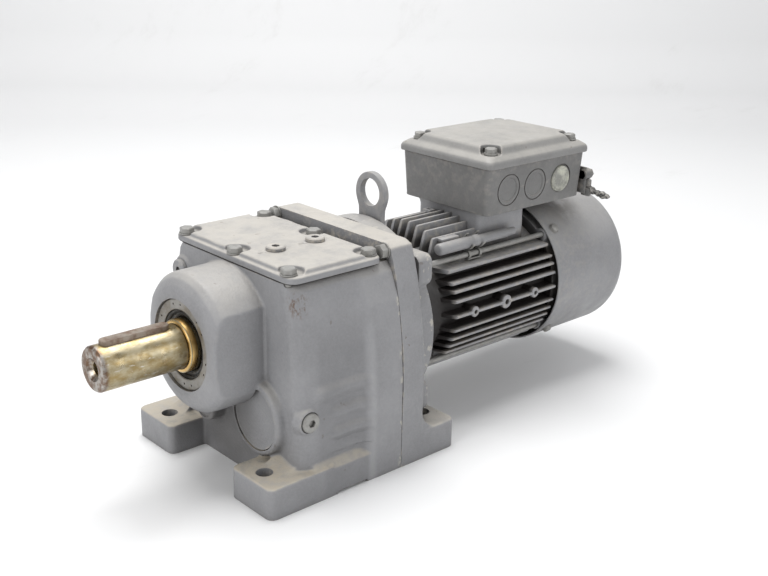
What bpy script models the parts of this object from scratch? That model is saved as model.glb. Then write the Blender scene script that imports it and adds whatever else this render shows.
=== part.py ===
"""Foot-mounted inline gearmotor: two-stage gear unit, brake motor, terminal box, stored lever.

All sizes below are millimetres. Along the unit, x runs from the free end of the output shaft (0) to the
back of the fan cover; the datum empty moves that scale so that the assembly is centred on the origin.
y is zero on the shaft axis and negative on the side of the stored lever; z is zero on the floor.
"""
import math

import bmesh
import bpy
from mathutils import Matrix, Vector

MM = 0.001
GAP = 0.3                    # space left between pieces that touch
SEGMENTS = 32                # facets round a large turned piece
INNER_SEGMENTS = 16          # facets round a hidden one

# driving dimensions of the gear unit
LENGTH = 545.0
OUTPUT_Z = 115.0             # shaft height
MOTOR_Z = 101.0
SHAFT_R = 17.5
SHAFT_LENGTH = 70.0
SEAL_X = 74.6
SEAL_R = 36.0
HUB_R = 55.5
HUB_FLAT_Y = 45.5
BODY_X0 = 119.0              # front face of the gearcase
SEAM_X = 217.0               # joint between gearcase and rear plate
PLATE_X1 = 241.0
BODY_TOP = 172.0
PLATE_TOP = 185.0
FOOT_X0 = 86.0
FOOT_X1 = 280.0
FOOT_HALF = 94.4             # half the width over the feet
FOOT_INNER = 42.4
FOOT_T = 25.0
HOLE_X = (100.5, 265.5)
HOLE_Y = 67.1
HOLE_R = 6.75
COVER_X = (119.0, 209.0)
COVER_HALF = 78.0
COVER_Z = 178.0
LEVEL_X = 129.0              # oil level plug on the near side
PAD_Z = 182.0
COVER_BOLTS = [(x, y) for x in (125.0, 202.0) for y in (-67.5, 0.0, 67.5)]

# gears: module, teeth and axis of each
OUTPUT_MODULE = 2.5
WHEEL_TEETH = 41
PINION_TEETH = 15
INPUT_MODULE = 2.0
SECOND_TEETH = 37
MOTOR_TEETH = 22
STAGE_2 = OUTPUT_MODULE * (WHEEL_TEETH + PINION_TEETH) / 2
STAGE_1 = INPUT_MODULE * (SECOND_TEETH + MOTOR_TEETH) / 2
LAY_Z = (STAGE_2**2 - STAGE_1**2 - OUTPUT_Z**2 + MOTOR_Z**2) / (2 * (MOTOR_Z - OUTPUT_Z))
LAY_Y = -math.sqrt(STAGE_1**2 - (MOTOR_Z - LAY_Z)**2)
CAP_2 = (23.0, 48.0)         # axis of the small closing cap

# driving dimensions of the motor
FLANGE_R = 84.0
FLANGE_X1 = 262.0
BARREL_R = 52.0
FIN_X = (299.0, 436.0)
FIN_R = 66.6                 # envelope of the side fins
TOP_FIN_R = 71.5             # envelope of the upright fins
FIN_T = 2.8
SIDE_FIN_Z = (37.0, 27.6, 20.9, 12.8, -0.5, -13.6, -22.0, -29.4, -36.4)   # above the motor axis
TOP_FIN_Y = (-33.0, -23.3, -13.6, -3.9, 5.8, 15.5, 25.2, 33.0)
TIE_R = 63.5                 # pitch radius of the tie rods
COVER_R = 70.0               # fan cover
COVER_X0 = 436.7
BOX_X = (349.6, 480.6)
BOX_HALF = 54.4
BOX_Z = (178.4, 220.4)
LID_X = (347.5, 482.9)
LID_HALF = 57.4
LID_TOP = 238.0
LEVER_Y, LEVER_Z = -45.0, 157.0
LIFT = (0.0, -math.sqrt(0.5), math.sqrt(0.5))   # way the stored lever comes out of its clip
LID_SCREW_X = (362.0, 468.4)
LID_SCREW_Y = 44.0
LID_SEAT = 231.0
KNOCKOUT_X = (377.4, 412.5, 447.7)
KNOCKOUT_Z = 199.0
TIE_Y = TIE_R * math.sqrt(0.5)
CORNERS = ((-1, 1), (1, 1), (-1, -1), (1, -1))
FLANGE_SCREWS = [(side * 69.5, 178.9) for side in (-1, 1)]


def clear_scene():
    for item in list(bpy.data.objects):
        bpy.data.objects.remove(item, do_unlink=True)


def collection(name):
    made = bpy.data.collections.new(name)
    bpy.context.scene.collection.children.link(made)
    return made


def material(name, colour, roughness, metallic):
    made = bpy.data.materials.new(name)
    made.use_nodes = True
    shader = made.node_tree.nodes["Principled BSDF"]
    shader.inputs["Base Color"].default_value = (*colour, 1.0)
    shader.inputs["Roughness"].default_value = roughness
    shader.inputs["Metallic"].default_value = metallic
    return made


clear_scene()
PARTS = collection("inline_gearmotor")
CUTTERS = collection("cutters")
DATUM = bpy.data.objects.new("datum", None)
DATUM.location.x = -LENGTH / 2 * MM
PARTS.objects.link(DATUM)

PAINT = material("grey_paint", (0.26, 0.26, 0.265), 0.5, 0.0)
PAINT_LID = material("grey_paint_lid", (0.28, 0.28, 0.28), 0.5, 0.0)
OILED = material("oiled_steel", (0.36, 0.29, 0.13), 0.3, 1.0)
KEY_STEEL = material("rusty_key_steel", (0.2, 0.15, 0.11), 0.5, 1.0)
STEEL = material("steel", (0.45, 0.45, 0.46), 0.35, 1.0)
ZINC = material("zinc_plated", (0.55, 0.54, 0.5), 0.4, 1.0)
RUBBER = material("seal_rubber", (0.03, 0.03, 0.03), 0.6, 0.0)
COPPER = material("winding", (0.4, 0.16, 0.07), 0.4, 0.8)
PLASTIC = material("plastic", (0.06, 0.06, 0.065), 0.5, 0.0)
BRIGHT = material("bright_plug", (0.5, 0.5, 0.46), 0.35, 0.0)
FRICTION = material("friction_lining", (0.1, 0.08, 0.07), 0.8, 0.0)
GASKET = material("gasket_paper", (0.08, 0.08, 0.07), 0.8, 0.0)


# ---------------------------------------------------------------- helpers

def axis_empty(name, y, z):
    """An empty on a shaft axis; what turns about that axis is parented to it."""
    empty = bpy.data.objects.new(name, None)
    empty.parent = DATUM
    empty.location = (0.0, y * MM, z * MM)
    PARTS.objects.link(empty)
    return empty


def finish_mesh(name, bm, mat, at=(0.0, 0.0, 0.0), parent=None):
    """Close the bmesh into an object; without a material it is a cutter."""
    bmesh.ops.recalc_face_normals(bm, faces=bm.faces)
    bmesh.ops.scale(bm, vec=(MM, MM, MM), verts=bm.verts)
    mesh = bpy.data.meshes.new(name)
    bm.to_mesh(mesh)
    bm.free()
    made = bpy.data.objects.new(name, mesh)
    made.parent = parent or DATUM
    made.location = Vector(at) * MM
    if mat is None:
        CUTTERS.objects.link(made)
        made.hide_render = True
        made.display_type = 'WIRE'
    else:
        PARTS.objects.link(made)
        mesh.materials.append(mat)
        mesh.shade_smooth()
        mesh.set_sharp_from_angle(angle=math.radians(32))
    return made


def loft(name, sections, mat, at=(0.0, 0.0, 0.0), parent=None):
    """Skin between outlines of equal point count; each section is (x, [(y, z), ...])."""
    bm = bmesh.new()
    rings = [[bm.verts.new((x, y, z)) for y, z in outline] for x, outline in sections]
    count = len(rings[0])
    for a, b in zip(rings, rings[1:]):
        for i in range(count):
            j = (i + 1) % count
            bm.faces.new((a[i], a[j], b[j], b[i]))
    bm.faces.new(rings[0])
    bm.faces.new(rings[-1][::-1])
    return finish_mesh(name, bm, mat, at, parent)


def prism(name, outline, x0, x1, mat, at=(0.0, 0.0, 0.0), parent=None):
    """The same outline in (y, z) from x0 to x1."""
    return loft(name, [(x0, outline), (x1, outline)], mat, at, parent)


def tower(name, levels, mat, at=(0.0, 0.0, 0.0), parent=None):
    """Skin between outlines of equal point count; each level is (z, [(x, y), ...])."""
    bm = bmesh.new()
    rings = [[bm.verts.new((x, y, z)) for x, y in outline] for z, outline in levels]
    count = len(rings[0])
    for a, b in zip(rings, rings[1:]):
        for i in range(count):
            j = (i + 1) % count
            bm.faces.new((a[i], a[j], b[j], b[i]))
    bm.faces.new(rings[0])
    bm.faces.new(rings[-1][::-1])
    return finish_mesh(name, bm, mat, at, parent)


def slab(name, outline, z0, z1, mat, parent=None):
    """The same outline in (x, y) from z0 up to z1."""
    return tower(name, [(z0, outline), (z1, outline)], mat, parent=parent)


def box(name, low, high, mat, bevel=0.0, parent=None):
    bm = bmesh.new()
    bmesh.ops.create_cube(bm, size=1.0)
    size = [b - a for a, b in zip(low, high)]
    bmesh.ops.scale(bm, vec=size, verts=bm.verts)
    if bevel:
        bmesh.ops.bevel(bm, geom=bm.edges[:], offset=bevel, segments=2, affect='EDGES', profile=0.5)
    middle = [(a + b) / 2 for a, b in zip(low, high)]
    return finish_mesh(name, bm, mat, middle, parent)


def cylinder(name, radius, length, centre, axis, mat, segments=24, parent=None, radius_2=None):
    """A cylinder or cone along X, Y or Z, centred on its middle.

    A cutter is turned by half a facet, so that its edges never line up with those of the piece.
    """
    bm = bmesh.new()
    top = radius if radius_2 is None else radius_2
    bmesh.ops.create_cone(bm, cap_ends=True, segments=segments, radius1=radius, radius2=top, depth=length)
    half_facet = math.pi / segments if mat is None else 0.0
    bmesh.ops.rotate(bm, cent=(0, 0, 0), matrix=Matrix.Rotation(half_facet, 3, 'Z'), verts=bm.verts)
    turn = {'X': Matrix.Rotation(math.pi / 2, 3, 'Y'),
            'Y': Matrix.Rotation(-math.pi / 2, 3, 'X'),
            'Z': Matrix.Identity(3)}[axis]
    bmesh.ops.rotate(bm, cent=(0, 0, 0), matrix=turn, verts=bm.verts)
    return finish_mesh(name, bm, mat, centre, parent)


def turned(name, profile, mat, y=0.0, z=0.0, parent=None, segments=SEGMENTS):
    """Screw a profile of (x, radius) points about an axis parallel to X.

    A profile that starts and ends on the axis makes a solid, any other one is closed into a ring.
    """
    ring = profile[0][1] > 0 or profile[-1][1] > 0
    area = sum(a[0] * b[1] - b[0] * a[1] for a, b in zip(profile, profile[1:] + profile[:1]))
    if area < 0:
        profile = profile[::-1]
    mesh = bpy.data.meshes.new(name)
    verts = [(x * MM, 0.0, r * MM) for x, r in profile]
    edges = [(i, i + 1) for i in range(len(verts) - 1)]
    if ring:
        edges.append((len(verts) - 1, 0))
    mesh.from_pydata(verts, edges, [])
    made = bpy.data.objects.new(name, mesh)
    made.parent = parent or DATUM
    if parent is None:
        made.location = (0.0, y * MM, z * MM)
    screw = made.modifiers.new("turn", 'SCREW')
    screw.axis = 'X'
    screw.steps = segments
    screw.render_steps = segments
    screw.use_merge_vertices = True
    screw.merge_threshold = 0.00001
    screw.use_smooth_shade = True
    if mat is None:
        CUTTERS.objects.link(made)
        made.hide_render = True
        made.display_type = 'WIRE'
    else:
        PARTS.objects.link(made)
        mesh.materials.append(mat)
    return made


def boolean(target, operation, *tools):
    for tool in tools:
        step = target.modifiers.new(tool.name, 'BOOLEAN')
        step.operation = operation
        step.solver = 'EXACT'
        step.object = tool
    return target


def cut(target, *tools):
    return boolean(target, 'DIFFERENCE', *tools)


def join(target, *tools):
    return boolean(target, 'UNION', *tools)


def arc(cx, cy, radius, start, end, steps):
    """Points of an arc, angles in degrees."""
    angles = [math.radians(start + (end - start) * i / steps) for i in range(steps + 1)]
    return [(cx + radius * math.cos(a), cy + radius * math.sin(a)) for a in angles]


def rounded(x0, x1, y0, y1, radius, steps=4):
    """Outline of a rectangle with round corners."""
    return (arc(x1 - radius, y1 - radius, radius, 0, 90, steps)
            + arc(x0 + radius, y1 - radius, radius, 90, 180, steps)
            + arc(x0 + radius, y0 + radius, radius, 180, 270, steps)
            + arc(x1 - radius, y0 + radius, radius, 270, 360, steps))


def gear_outline(module, teeth, turn=0.0, backlash=0.36, flank=1):
    """Involute spur outline with 20 degree pressure angle, as (y, z) points."""
    pressure = math.radians(20)
    pitch = module * teeth / 2
    base = pitch * math.cos(pressure)
    tip = pitch + 0.96 * module
    root = pitch - 1.28 * module

    def involute(angle):
        return math.tan(angle) - angle

    half = math.pi / 2 / teeth - backlash / 2 / pitch
    half_base = half + involute(pressure)
    first = max(base, root + 0.05 * module)
    points = []
    for tooth in range(teeth):
        middle = turn + 2 * math.pi * tooth / teeth
        side = []
        for i in range(flank + 1):
            r = first + (tip - first) * i / flank
            side.append((r, half_base - involute(math.acos(min(1.0, base / r)))))
        rise = [(root, side[0][1] + 0.02)] + side
        points += [(r, middle - a) for r, a in rise]
        points += [(r, middle + a) for r, a in rise[::-1]]
    return [(r * math.cos(a), r * math.sin(a)) for r, a in points]


def hex_screw(name, at, axis, across, head, shank_r, length, mat):
    """A hexagon screw whose head lies under its bearing face at `at`; the shank goes the other way."""
    sign = -1.0 if axis.startswith('-') else 1.0
    key = axis[-1]
    unit = Vector({'X': (1, 0, 0), 'Y': (0, 1, 0), 'Z': (0, 0, 1)}[key]) * sign
    bm = bmesh.new()
    bmesh.ops.create_cone(bm, cap_ends=True, segments=6, radius1=across / math.sqrt(3),
                          radius2=across / math.sqrt(3), depth=head)
    bmesh.ops.translate(bm, vec=(0, 0, head / 2), verts=bm.verts)
    bmesh.ops.rotate(bm, cent=(0, 0, 0), matrix=Vector((0, 0, 1)).rotation_difference(unit).to_matrix(),
                     verts=bm.verts)
    screw = finish_mesh(name, bm, mat, at)
    middle = Vector(at) - unit * (length / 2 - head * 0.4)
    shank = cylinder(name + "_shank", shank_r, length + head * 0.8, middle, key, None, 8)
    return join(screw, shank)


def socket_plug(name, at, axis, head_r, head, shank_r, length, mat):
    """A collared screw plug with a hexagon socket; `at` is the seat under its collar."""
    sign = -1.0 if axis.startswith('-') else 1.0
    key = axis[-1]
    unit = Vector({'X': (1, 0, 0), 'Y': (0, 1, 0), 'Z': (0, 0, 1)}[key]) * sign
    seat = Vector(at)
    plug = cylinder(name, head_r, head, seat + unit * head / 2, key, mat, 20)
    shank = cylinder(name + "_shank", shank_r, length, seat - unit * (length / 2 - head / 2), key, None, 10)
    hexagon = cylinder(name + "_socket", 3.5, head * 1.6, seat + unit * head, key, None, 6)
    join(plug, shank)
    return cut(plug, hexagon)


# ---------------------------------------------------------------- gear unit

def half_outline(rows, low):
    """Mirror rows of (half width, z), listed top to bottom, into a closed outline."""
    left = [(-w, z) for w, z in rows] + [(-rows[-1][0] + 4, low)]
    return left + [(-y, z) for y, z in left[::-1]]


BODY_FRONT = [(70, 172), (77, 166), (82.4, 141), (85.5, 103), (87.4, 55), (88.0, 10)]
BODY_REAR = [(70, 172), (78.5, 165), (86.5, 144), (91.5, 112), (94.0, 80), (94.2, 10)]


def widths(rows, change):
    return [(w + change, z) for w, z in rows]


def make_gearcase():
    """Main casting: body, output hub, front feet and side rails, bored and hollow."""
    body = loft("gearcase", [
        (BODY_X0, half_outline(widths(BODY_FRONT, -7), 6)),
        (BODY_X0 + 3, half_outline(widths(BODY_FRONT, -2.4), 6)),
        (BODY_X0 + 10, half_outline(BODY_FRONT, 6)),
        (181, half_outline(widths(BODY_FRONT, 0.8), 6)),
        (188, half_outline(BODY_REAR, 6)),
        (SEAM_X + 8, half_outline(BODY_REAR, 6)),
    ], PAINT)
    hub = turned("hub_blank", [(72.6, 20), (72.6, 39), (74.2, 44), (80.5, HUB_R), (125, HUB_R),
                               (125, 20)], None, z=OUTPUT_Z)
    for side in (-1, 1):
        flat = box(f"hub_flat_{side}", (60, side * HUB_FLAT_Y + min(side, 0) * 40, 20),
                   (116, side * HUB_FLAT_Y + max(side, 0) * 40, 210), None)
        cut(hub, flat)
    foot_parts = []
    for side, name in ((-1, "near"), (1, "far")):
        low, high = sorted((side * FOOT_INNER, side * FOOT_HALF))
        foot = slab(f"front_foot_{name}", rounded(FOOT_X0, 149, low, high, 11), 0, FOOT_T, None)
        inner, outer = side * 70, side * (FOOT_HALF - 0.3)
        rail = prism(f"rail_{name}", [(inner, 4), (outer, 4), (outer, 23), (side * 87, 31), (inner, 33)],
                     130, SEAM_X + 4, None)
        low, high = sorted((side * 60, side * (FOOT_HALF - 0.6)))
        pad = box(f"rail_pad_{name}", (181, low, 0), (SEAM_X + 6, high, 15), None)
        foot_parts += [foot, rail, pad]
    big_boss = turned("large_cap_boss", [(111.5, 9), (111.5, 29), (113.5, 31), (124, 33), (124, 9)], None,
                      LAY_Y, LAY_Z, segments=28)
    small_boss = turned("small_cap_boss", [(106, 5), (106, 13), (107.5, 14.2), (124, 14.8), (124, 5)], None,
                        *CAP_2, segments=20)
    plug_boss = turned("front_plug_boss", [(116.5, 3), (116.5, 10.5), (124, 12.5), (124, 3)], None,
                       64, 150, segments=16)
    join(body, hub, big_boss, small_boss, plug_boss, *foot_parts)

    inner = [(60, 156), (73, 146), (76, 110), (78, 60), (76, 20)]
    front = prism("front_cavity", half_outline(inner, 14), 134.5, 163.5, None)
    rear = prism("rear_cavity", half_outline(widths(inner, 4), 14), 179.5, SEAM_X + 5, None)
    throat = cylinder("cavity_throat", 18, 40, (171, LAY_Y, LAY_Z), 'X', None, INNER_SEGMENTS)
    hatch = box("hatch", (135.5, -57, 150), (194, 57, 180), None)
    output_bore = turned("output_bore", [(60, 0), (60, SEAL_R + GAP), (88, SEAL_R + GAP), (88, 40.4), (140, 40.4),
                                         (140, 0)], None, z=OUTPUT_Z)
    output_bore.rotation_euler.x = math.pi / SEGMENTS
    rear_bore = cylinder("output_rear_bore", 36.9, 30, (171, 0, OUTPUT_Z), 'X', None, 20)
    lay_bore = cylinder("lay_bore", 26.5, 34, (126, LAY_Y, LAY_Z), 'X', None, 28)
    seam = box("seam_plane", (SEAM_X, -120, -20), (SEAM_X + 40, 120, 220), None)
    cap_bore = cylinder("small_cap_bore", 11.4, 14, (106, *CAP_2), 'X', None, 20)
    level_bore = cylinder("level_bore", 6.4, 14.5, (LEVEL_X, -87.75, 66), 'Y', None, 12)
    front_plug_bore = cylinder("front_plug_bore", 6.4, 26, (118, 64, 150), 'X', None, 12)
    level_seat = cylinder("level_seat", 8.5, 6, (LEVEL_X, -90.2, 66), 'Y', None, 20)
    feet_holes = [cylinder(f"front_foot_hole_{i}", HOLE_R, 40, (HOLE_X[0], s * HOLE_Y, 12), 'Z', None, 16)
                  for i, s in enumerate((-1, 1))]
    screw_holes = [cylinder(f"cover_hole_{i}", 4.7, 21.5, (x, y, 169.25), 'Z', None, 8)
                   for i, (x, y) in enumerate(COVER_BOLTS)]
    cut(body, seam, front, rear, throat, hatch, output_bore, rear_bore, lay_bore,
        cap_bore, level_bore, front_plug_bore, level_seat, *feet_holes, *screw_holes)
    return body


def make_rear_plate():
    """Motor-side plate with the rear feet; it carries the rear bearing of the pinion shaft."""
    x0 = SEAM_X + GAP
    rows = [(69, PLATE_TOP), (76, 182), (80, 170), (84, 156), (88, 136), (91, 118), (94, 95),
            (95, 70), (FOOT_HALF, 40), (FOOT_HALF, 4)]
    plate = loft("rear_plate", [
        (x0, half_outline(rows, 0)),
        (PLATE_X1 - 2, half_outline(rows, 0)),
        (PLATE_X1, half_outline(widths(rows, -1.6), 0)),
    ], PAINT)
    for side, name in ((-1, "near"), (1, "far")):
        low, high = sorted((side * FOOT_INNER, side * FOOT_HALF))
        foot = slab(f"rear_foot_{name}", rounded(PLATE_X1 - 18, FOOT_X1, low, high, 9), 0, FOOT_T, None)
        low, high = sorted((side * 80.5, side * (FOOT_HALF - 1.2)))
        gusset = loft(f"foot_gusset_{name}", [
            (PLATE_X1 - 4, [(low, 10), (high, 10), (high, 42), (low, 42)]),
            (PLATE_X1, [(low, 10), (high, 10), (high, 40), (low, 40)]),
            (PLATE_X1 + 5, [(low, 10), (high, 10), (high, 31), (low, 31)]),
            (PLATE_X1 + 14, [(low, 10), (high, 10), (high, 24.5), (low, 24.5)]),
        ], None)
        join(plate, foot, gusset)
    arch = box("plate_arch", (200, -FOOT_INNER, -5), (300, FOOT_INNER, 6), None)
    spigot = cylinder("plate_spigot_bore", 28.3, 60, (230, 0, MOTOR_Z), 'X', None, 20)
    lay_bore = cylinder("plate_lay_bore", 26.7, 34, (217, LAY_Y, LAY_Z), 'X', None, 20)
    holes = [cylinder(f"rear_foot_hole_{i}", HOLE_R, 60, (HOLE_X[1], s * HOLE_Y, 12), 'Z', None, 16)
             for i, s in enumerate((-1, 1))]
    screws = [cylinder(f"flange_screw_hole_{i}", 4.3, 26, (223, y, z), 'X', None, 12)
              for i, (y, z) in enumerate(FLANGE_SCREWS)]
    return cut(plate, arch, spigot, lay_bore, *holes, *screws)


def make_cover():
    """Top cover: flat flange, gasket under it, and a raised pad notched round its screws."""
    def outline(inset, radius):
        return rounded(COVER_X[0] + inset, COVER_X[1] - inset, inset - COVER_HALF, COVER_HALF - inset, radius)

    cover = tower("gearcase_cover", [(BODY_TOP + 1.2, outline(0, 9)), (COVER_Z - 0.8, outline(0, 9)),
                                     (COVER_Z, outline(0.8, 9))], PAINT)
    pad = tower("cover_pad", [(COVER_Z - 2, outline(3.5, 7)), (PAD_Z - 1, outline(4.5, 7)),
                              (PAD_Z, outline(5.8, 7))], None)
    notches = [cylinder(f"pad_notch_{i}", 12.0, 10, (x, y, COVER_Z + 5), 'Z', None, 16, radius_2=13.5)
               for i, (x, y) in enumerate(COVER_BOLTS)]
    cut(pad, *notches)
    holes = [cylinder(f"cover_screw_hole_{i}", 4.7, 30, (x, y, 178), 'Z', None, 8)
             for i, (x, y) in enumerate(COVER_BOLTS)]
    plugs = [cylinder(f"plug_hole_{i}", 6.4, 40, (x, -22.6, 180), 'Z', None, 16)
             for i, x in enumerate((147.0, 185.5))]
    join(cover, pad)
    cut(cover, *holes, *plugs)

    gasket = slab("cover_gasket", outline(0.5, 9), BODY_TOP + GAP, BODY_TOP + 0.9, GASKET)
    window = box("gasket_window", (137, -56, 160), (193, 56, 190), None)
    gasket_holes = [cylinder(f"gasket_hole_{i}", 4.7, 30, (x, y, 175), 'Z', None, 8)
                    for i, (x, y) in enumerate(COVER_BOLTS)]
    cut(gasket, window, *gasket_holes)
    for i, (x, y) in enumerate(COVER_BOLTS):
        hex_screw(f"cover_screw_{i + 1}", (x, y, COVER_Z + GAP), 'Z', 10.8, 5.2, 4.0, 18, ZINC)
    for name, x in (("filler_plug", 147.0), ("breather_plug", 185.5)):
        socket_plug(name, (x, -22.6, PAD_Z + GAP), 'Z', 7.8, 3.0, 6.0, 13, PAINT)


def make_small_parts():
    """Screw plugs, closing caps and the output oil seal."""
    socket_plug("level_plug", (LEVEL_X, -87.0 - GAP, 66), '-Y', 7.8, 3.6, 6.0, 5.5, STEEL)
    socket_plug("front_plug", (116.5 - GAP, 64, 150), '-X', 8.8, 3.4, 6.0, 12, PAINT)
    turned("closing_cap_large", [(113.0, 0), (113.0, 24.4), (112.2, 25.2), (112.2, 26.0), (117.4, 26.0),
                                 (117.4, 0)], PAINT, LAY_Y, LAY_Z, segments=28)
    turned("closing_cap_small", [(106.8, 0), (106.8, 10.2), (106.2, 11.0), (112, 11.0), (112, 0)],
           PAINT, *CAP_2, segments=20)
    turned("output_oil_seal", [(SEAL_X, 28.5), (SEAL_X, SEAL_R), (84.5, SEAL_R), (84.5, 21.2),
                               (79, 21.0), (76.8, 22.0), (76.2, 26.5)], RUBBER, z=OUTPUT_Z)


def make_output():
    """Output shaft with its key and wheel, and the two bearings it runs in."""
    axis = axis_empty("output_axis", 0, OUTPUT_Z)
    shaft = turned("output_shaft", [
        (27, 0), (24, 5.1), (5.5, 5.1), (1.2, 8.5), (0, 8.9), (0, 16), (1.5, SHAFT_R),
        (SHAFT_LENGTH, SHAFT_R), (SHAFT_LENGTH, 20.2), (71, 20.7), (90, 20.7), (91, 22.5), (113, 22.5),
        (113, 27), (136.5, 27), (136.5, 24), (161, 24), (161, 20), (180, 20), (180, 0),
    ], OILED, parent=axis, segments=24)
    keyway = box("keyway", (6, -5.1, 12.4), (64, 5.1, 30), None, parent=axis)
    cut(shaft, keyway)
    ends = arc(11.6, 0, 4.8, 90, 270, 6) + arc(58.4, 0, 4.8, -90, 90, 6)
    slab("output_key", ends, 12.8, 20.8, KEY_STEEL, axis)
    wheel = prism("output_wheel", gear_outline(OUTPUT_MODULE, WHEEL_TEETH, math.pi / 2), 137, 160, STEEL,
                  parent=axis)
    cut(wheel, cylinder("wheel_bore", 24.5, 60, (146, 0, 0), 'X', None, INNER_SEGMENTS, axis))
    bearing("output_bearing_front", 92, 112, 22.5, 40, 0, OUTPUT_Z)
    bearing("output_bearing_rear", 164, 178, 20, 36, 0, OUTPUT_Z)
    return axis


def bearing(name, x0, x1, bore_r, outer_r, y, z):
    """A rolling bearing as one ring, held in its housing and clear of the shaft."""
    turned(name, [(x0, bore_r + 2 * GAP), (x0, outer_r), (x1, outer_r), (x1, bore_r + 2 * GAP)], STEEL, y, z,
           segments=INNER_SEGMENTS)


def make_lay_shaft():
    """Pinion shaft and the wheel pressed on it, with their bearings."""
    axis = axis_empty("lay_axis", LAY_Y, LAY_Z)
    mesh_angle = math.atan2(OUTPUT_Z - LAY_Z, -LAY_Y)
    # a tooth space of the pinion faces the output wheel where a wheel tooth points at it
    wheel_phase = (mesh_angle + math.pi - math.pi / 2) % (2 * math.pi / WHEEL_TEETH)
    turn = mesh_angle + math.pi / PINION_TEETH + wheel_phase * WHEEL_TEETH / PINION_TEETH
    pinion = prism("pinion_teeth", gear_outline(OUTPUT_MODULE, PINION_TEETH, turn), 136, 161.5, None,
                   parent=axis)
    shaft = turned("pinion_shaft", [(118.5, 0), (118.5, 11.5), (119, 12.5), (131, 12.5), (131, 14.5),
                                    (185, 14.5), (185, 17), (185.6, 17), (185.6, 14.5), (218, 14.5),
                                    (218, 12.5), (231, 12.5), (231.5, 11.5), (231.5, 0)],
                   STEEL, parent=axis, segments=INNER_SEGMENTS)
    join(shaft, pinion)
    second_phase = mesh_turn(LAY_Y, LAY_Z)
    wheel = prism("intermediate_wheel", gear_outline(INPUT_MODULE, SECOND_TEETH, second_phase), 186, 203,
                  STEEL, parent=axis)
    cut(wheel, cylinder("second_bore", 15.0, 60, (195, 0, 0), 'X', None, INNER_SEGMENTS, axis))
    bearing("lay_bearing_front", 119, 130.5, 12.5, 26, LAY_Y, LAY_Z)
    bearing("lay_bearing_rear", 219, 231, 12.5, 26, LAY_Y, LAY_Z)
    return axis


def mesh_turn(y, z):
    """Turn of the intermediate wheel that puts a tooth on the line to the motor axis."""
    return math.atan2(MOTOR_Z - z, -y)


# ---------------------------------------------------------------- motor

def make_motor_flange():
    """Drive end shield: a round flange with four corner lugs and a spigot into the rear plate."""
    flange = turned("motor_flange", [
        (235, 20), (235, 27.6), (PLATE_X1 + GAP, 27.6), (PLATE_X1 + GAP, FLANGE_R - 1.5),
        (PLATE_X1 + 2, FLANGE_R), (FLANGE_X1 - 2, FLANGE_R), (FLANGE_X1, FLANGE_R - 2),
        (FLANGE_X1, 44.8), (270, 44.8), (270, 36), (276, 36), (276, 26.3), (262, 26.3), (262, 20)],
        PAINT, z=MOTOR_Z)
    for i, (sy, sz) in enumerate(CORNERS):
        y, z = sorted((sy * 42.0, sy * 79.0)), sorted((sz * 42.0, sz * 69.0))
        lug = prism(f"flange_lug_{i}", rounded(*y, MOTOR_Z + z[0], MOTOR_Z + z[1], 7, 2),
                    PLATE_X1 + 5.5, FLANGE_X1 - 0.4, None)
        boss = cylinder(f"tie_boss_{i}", 6.5, 10, (FLANGE_X1 + 3, sy * TIE_Y, MOTOR_Z + sz * TIE_Y), 'X',
                        None, 12)
        join(flange, lug, boss)
        thread = cylinder(f"tie_thread_{i}", 2.6 + GAP, 24, (268, sy * TIE_Y, MOTOR_Z + sz * TIE_Y), 'X', None, 8)
        cut(flange, thread)
    for i, (y, z) in enumerate(FLANGE_SCREWS):
        hex_screw(f"flange_screw_{i + 1}", (SEAM_X, y, z), '-X', 11.0, 6.0, 4.0, 18, ZINC)


def make_lifting_eye():
    """Flat lifting lug standing behind the flange."""
    x0 = FLANGE_X1 + GAP
    top = arc(0, 203.5, 18.5, -20, 200, 16)
    outline = top + [(-14, 185), (-14, 160), (14, 160), (14, 185)]
    eye = prism("lifting_eye", outline, x0, x0 + 5.5, PAINT)
    hole = cylinder("eye_hole", 12, 30, (x0, 0, 204.5), 'X', None, 24)
    return cut(eye, hole)


def fin(angle, place, reach, thick):
    """Root and tip points of one fin about the motor axis; it points up, down or sideways by angle."""
    low, high = place - thick / 2, place + thick / 2
    root_low, root_high = math.sqrt(BARREL_R**2 - low**2), math.sqrt(BARREL_R**2 - high**2)
    tip = math.sqrt(reach**2 - max(abs(low), abs(high))**2)
    points = [(root_low, low), (tip, low), (tip, high), (root_high, high)]
    c, s = math.cos(angle), math.sin(angle)
    return [(u * c - v * s, MOTOR_Z + u * s + v * c) for u, v in points]


def fin_outline():
    """Closed outline of the finned barrel, counterclockwise in (y, z) from the far side."""
    def thick(z):
        return FIN_T * (1.3 if z == SIDE_FIN_Z[0] else 1)

    outline = []
    for z in SIDE_FIN_Z[::-1]:
        outline += fin(0, z, FIN_R, thick(z))
    for y in TOP_FIN_Y[::-1]:
        outline += fin(math.pi / 2, -y, TOP_FIN_R, FIN_T)
    for z in SIDE_FIN_Z:
        outline += fin(math.pi, -z, FIN_R, thick(z))
    for y in TOP_FIN_Y:
        outline += fin(-math.pi / 2, y, FIN_R, FIN_T)
    return outline


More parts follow.
